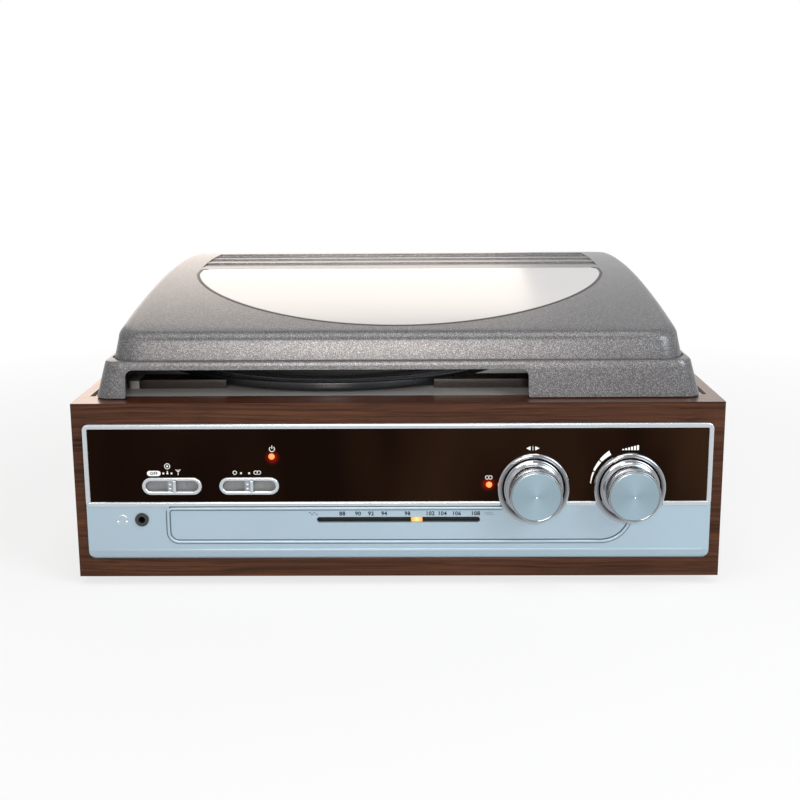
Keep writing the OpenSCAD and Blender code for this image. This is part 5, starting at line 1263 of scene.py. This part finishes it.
ink_piece("dial_waves", [wave_band(-46.2, -41.6, 34.4, 0.32, 2.3, 30),
                         wave_band(45.2, 49.6, 34.2, 0.30, 1.1, 60)], "ink_dark")
print(len(light), "light shapes")

# %% [markdown]
# ## Numbers, OFF and ON
#
# Numbers come from Blender's own font. Each is laid out flat, made into a mesh, scaled to its
# height, and only then moved to its place on the front or the deck.


# %% Lettering
def read_array(items, name, width, kind):
    """One attribute of all vertices or triangles of a mesh, as an array of that width."""
    values = np.empty(len(items) * width, kind)
    items.foreach_get(name, values)
    return values.reshape(-1, width)


def lettering(name, words, height, depth=INK, level=None):
    """Plain numbers or ON and OFF, each centred on its x and z, joined into one mesh. With a
    level they lie on the deck at that height instead, centred on their x and y."""
    points, faces, count = [], [], 0
    for text, x, z in words:
        curve = bpy.data.curves.new("word", "FONT")
        curve.body, curve.size, curve.space_character = text, 10.0, 1.08
        curve.extrude, curve.resolution_u, curve.offset = 0.5, 3, 0.28
        made = add_object("word", curve)
        mesh = bpy.data.meshes.new_from_object(
            made.evaluated_get(bpy.context.evaluated_depsgraph_get()))
        bpy.data.objects.remove(made)
        bpy.data.curves.remove(curve)
        mesh.calc_loop_triangles()
        flat = read_array(mesh.vertices, "co", 3, np.float32).astype(float)
        faces.append(read_array(mesh.loop_triangles, "vertices", 3, np.int32) + count)
        bpy.data.meshes.remove(mesh)
        low, high = flat.min(axis=0), flat.max(axis=0)
        raised = flat[:, 2] > (low[2] + high[2]) / 2
        flat = (flat - (low + high) / 2)[:, :2] * height / (high[1] - low[1]) + [x, z]
        if level is None:
            points.append(np.insert(flat, 1, np.where(raised, FACE_Y - depth, FACE_Y + 0.01), 1))
        else:
            points.append(np.insert(flat, 2, np.where(raised, level + depth, level - 0.01), 1))
        count += len(flat)
    make_piece(name, np.concatenate(points), np.concatenate(faces), "cabinet", "bright_plastic",
               "ink_dark", sharp=20)


DIAL = {"88": -28.8, "90": -20.6, "92": -13.9, "94": -7.0, "98": 5.06, "102": 17.1, "104": 23.4,
        "106": 30.8, "108": 40.6}
lettering("dial_numbers", [(text, x, 34.35) for text, x in DIAL.items()], 2.25)
ink_piece("off_pill", [np.concatenate([arc_points((-123.8, 56.2), 1.4, -90, 90, 10),
                                       arc_points((-128.1, 56.2), 1.4, 90, 270, 10)])],
          "ink_light")
lettering("off_word", [("OFF", -125.95, 56.2)], 1.6, depth=2 * INK)
print(len(DIAL), "numbers on the dial")

# %% [markdown]
# ## Moulded headphone sign
#
# The headphone sign beside the socket is moulded into the panel, so it is a low ridge: a bow and
# two ear pads.

# %% Headphone bow and pads
bow = arc_points((-143.5, 31.3), 2.35, 205, -25, 24)
ridge("headphone_bow", bow, 0.75, 0.32, closed=False, power=1.0)
for label, side in (("left", -1), ("right", 1)):
    pad = [(-143.5 + side * 2.2, 31.0), (-143.5 + side * 2.25, 29.8), (-143.5 + side * 1.8, 28.4)]
    ridge(f"headphone_pad_{label}", pad, 1.4, 0.36, closed=False, power=1.0)
print(len(pieces), "finished pieces so far")

# %% [markdown]
# ## Deck marks
#
# With the lid open, the speed slider shows the three record speeds beside its places, and the stop
# switch has ON and OFF.

# %% Speeds, ON and OFF
DECK_TOP = node_box("control_deck")[1][2]
low, high = node_box("speed_slider")
middle = (low[1] + high[1]) / 2
lettering("speed_numbers", [(text, low[0] - 5.0, middle + step)
                            for text, step in (("33", 0), ("45", 5), ("78", 10))],
          2.6, level=DECK_TOP)
low, high = node_box("stop_slider")
middle = (low[1] + high[1]) / 2
lettering("stop_words", [("OFF", low[0] - 5.6, middle - 1.2), ("ON", low[0] - 5.0, middle + 5.0)],
          2.2, level=DECK_TOP)
print("deck marks at height", round(float(DECK_TOP), 2))

# %% [markdown]
# ## Rear screws
#
# Six dome-headed screws hold the rear panel. Their heads are turned, and on each lies a dark cross,
# a painted shade for the recess of its cross slot.

# %% Rear screws
low, high = node_box("rear_panel")
rear = high[1]
head = [(0.0, 1.3), (0.9, 1.27), (1.8, 1.12), (2.5, 0.85), (2.95, 0.5), (3.1, 0.2), (3.1, -0.2),
        (0.0, -0.2)]
screw_points, screw_faces, slot_shade_crosses = [], [], []
for x in (low[0] + 8, 0.0, high[0] - 8):
    for z in (low[2] + 7, high[2] - 7):
        points, faces = revolve(head, (x, rear, z), "y", 32)
        screw_faces.append(faces + len(points) * len(screw_points))
        screw_points.append(points)
        slot_shade_crosses += [bar(x - wide, x + wide, z - tall, z + tall)
                    for wide, tall in ((1.5, 0.28), (0.28, 1.5))]
make_piece("rear_screws", screw_points, np.concatenate(screw_faces), "cabinet", "steel", sharp=50)
# painted shade: dark crosses on the heads stand for the shade in the cross slots
ink_piece("rear_screw_slot_shade", slot_shade_crosses, "ink_dark", y=rear + 1.0, height=-0.34)
print(len(screw_points), "screws on the rear panel")

# %% [markdown]
# ## Floor and world
#
# The photograph was taken in soft light against white. A matt floor takes the shadows, and for the
# camera, and in mirrors and clear plastic, floor and world turn plain white, the floor more so with
# its distance, so that no horizon shows.

# %% Floor and world
floor_mesh = bpy.data.meshes.new("floor")
floor_mesh.from_pydata([(-4, -4, 0), (4, -4, 0), (4, 4, 0), (-4, 4, 0)], [], [(0, 1, 2, 3)])
add_object("floor", floor_mesh)
floor_material = bpy.data.materials.new("floor")
floor_mesh.materials.append(floor_material)
world = scene.world = bpy.data.worlds.new("studio")


def whitened(owner, output, plain, white, colour, strength=None, fade=False):
    """Fills the node tree with a plain shader that camera, mirror and clear rays see as white."""
    owner.use_nodes = True
    owner.node_tree.nodes.clear()
    n = Nodes(owner.node_tree)
    ray = n.add("LightPath").outputs
    seen = n.calc("MAXIMUM", ray["Is Camera Ray"],
                  n.calc("MAXIMUM", ray["Is Glossy Ray"], ray["Is Transmission Ray"]))
    if fade:
        away = n.vector("LENGTH", n.here((1.0, 1.0, 0.0)))
        seen = n.calc("MULTIPLY", seen, n.ramp(away, 0.22, 0.70, 0.74, 1.0))
    soft = n.add(plain, {"Color": colour} | ({"Strength": strength} if strength else {}))
    bright = n.add(white, {"Color": (1, 1, 1, 1), "Strength": 1.0})
    both = n.add("MixShader", {0: seen, 1: soft.outputs[0], 2: bright.outputs[0]})
    n.add(output, {0: both.outputs[0]})


whitened(floor_material, "OutputMaterial", "BsdfDiffuse", "Emission", (0.86, 0.86, 0.86, 1),
         fade=True)
whitened(world, "OutputWorld", "Background", "Background", (0.80, 0.86, 0.95, 1), 0.21)
print("floor and world are set")

# %% [markdown]
# ## Lamps
#
# Five soft lamps stand round the player: a cool key from the right in front, a weak warm one from
# the left, a low one in front that lights the panel, one overhead, and a large warm one behind,
# which makes the lid's top glow.

# %% Lamps
# name: place and aim in metres, size in metres, power in watts, colour
LIGHTS = {
    "front_right": ((0.80, -0.85, 0.65), (0.05, 0, 0.05), 0.6, 8.5, (0.88, 0.94, 1.0)),
    "front_left": ((-1.1, -1.2, 0.9), (0, 0, 0.05), 0.9, 2.5, (1.0, 0.97, 0.94)),
    "front_low": ((-0.10, -1.9, 0.52), (0, -0.1, 0.12), 0.55, 15, (1.0, 0.93, 0.87)),
    "overhead": ((0.0, -0.55, 1.5), (0, 0, 0.1), 0.9, 9, (1.0, 0.96, 0.92)),
    "rear_left": ((-0.42, 2.1, 0.72), (0, 0, 0.1), 1.4, 9, (1.0, 0.83, 0.70)),
}
for name, (at, aim, size, power, colour) in LIGHTS.items():
    lamp_data = bpy.data.lights.new(name, "AREA")
    lamp_data.size, lamp_data.energy, lamp_data.color = size, power, colour
    lamp = add_object(name, lamp_data)
    lamp.location = at
    lamp.rotation_euler = (Vector(aim) - Vector(at)).to_track_quat("-Z", "Y").to_euler()
scene.view_settings.view_transform = "Standard"
print(len(LIGHTS), "lamps are set")
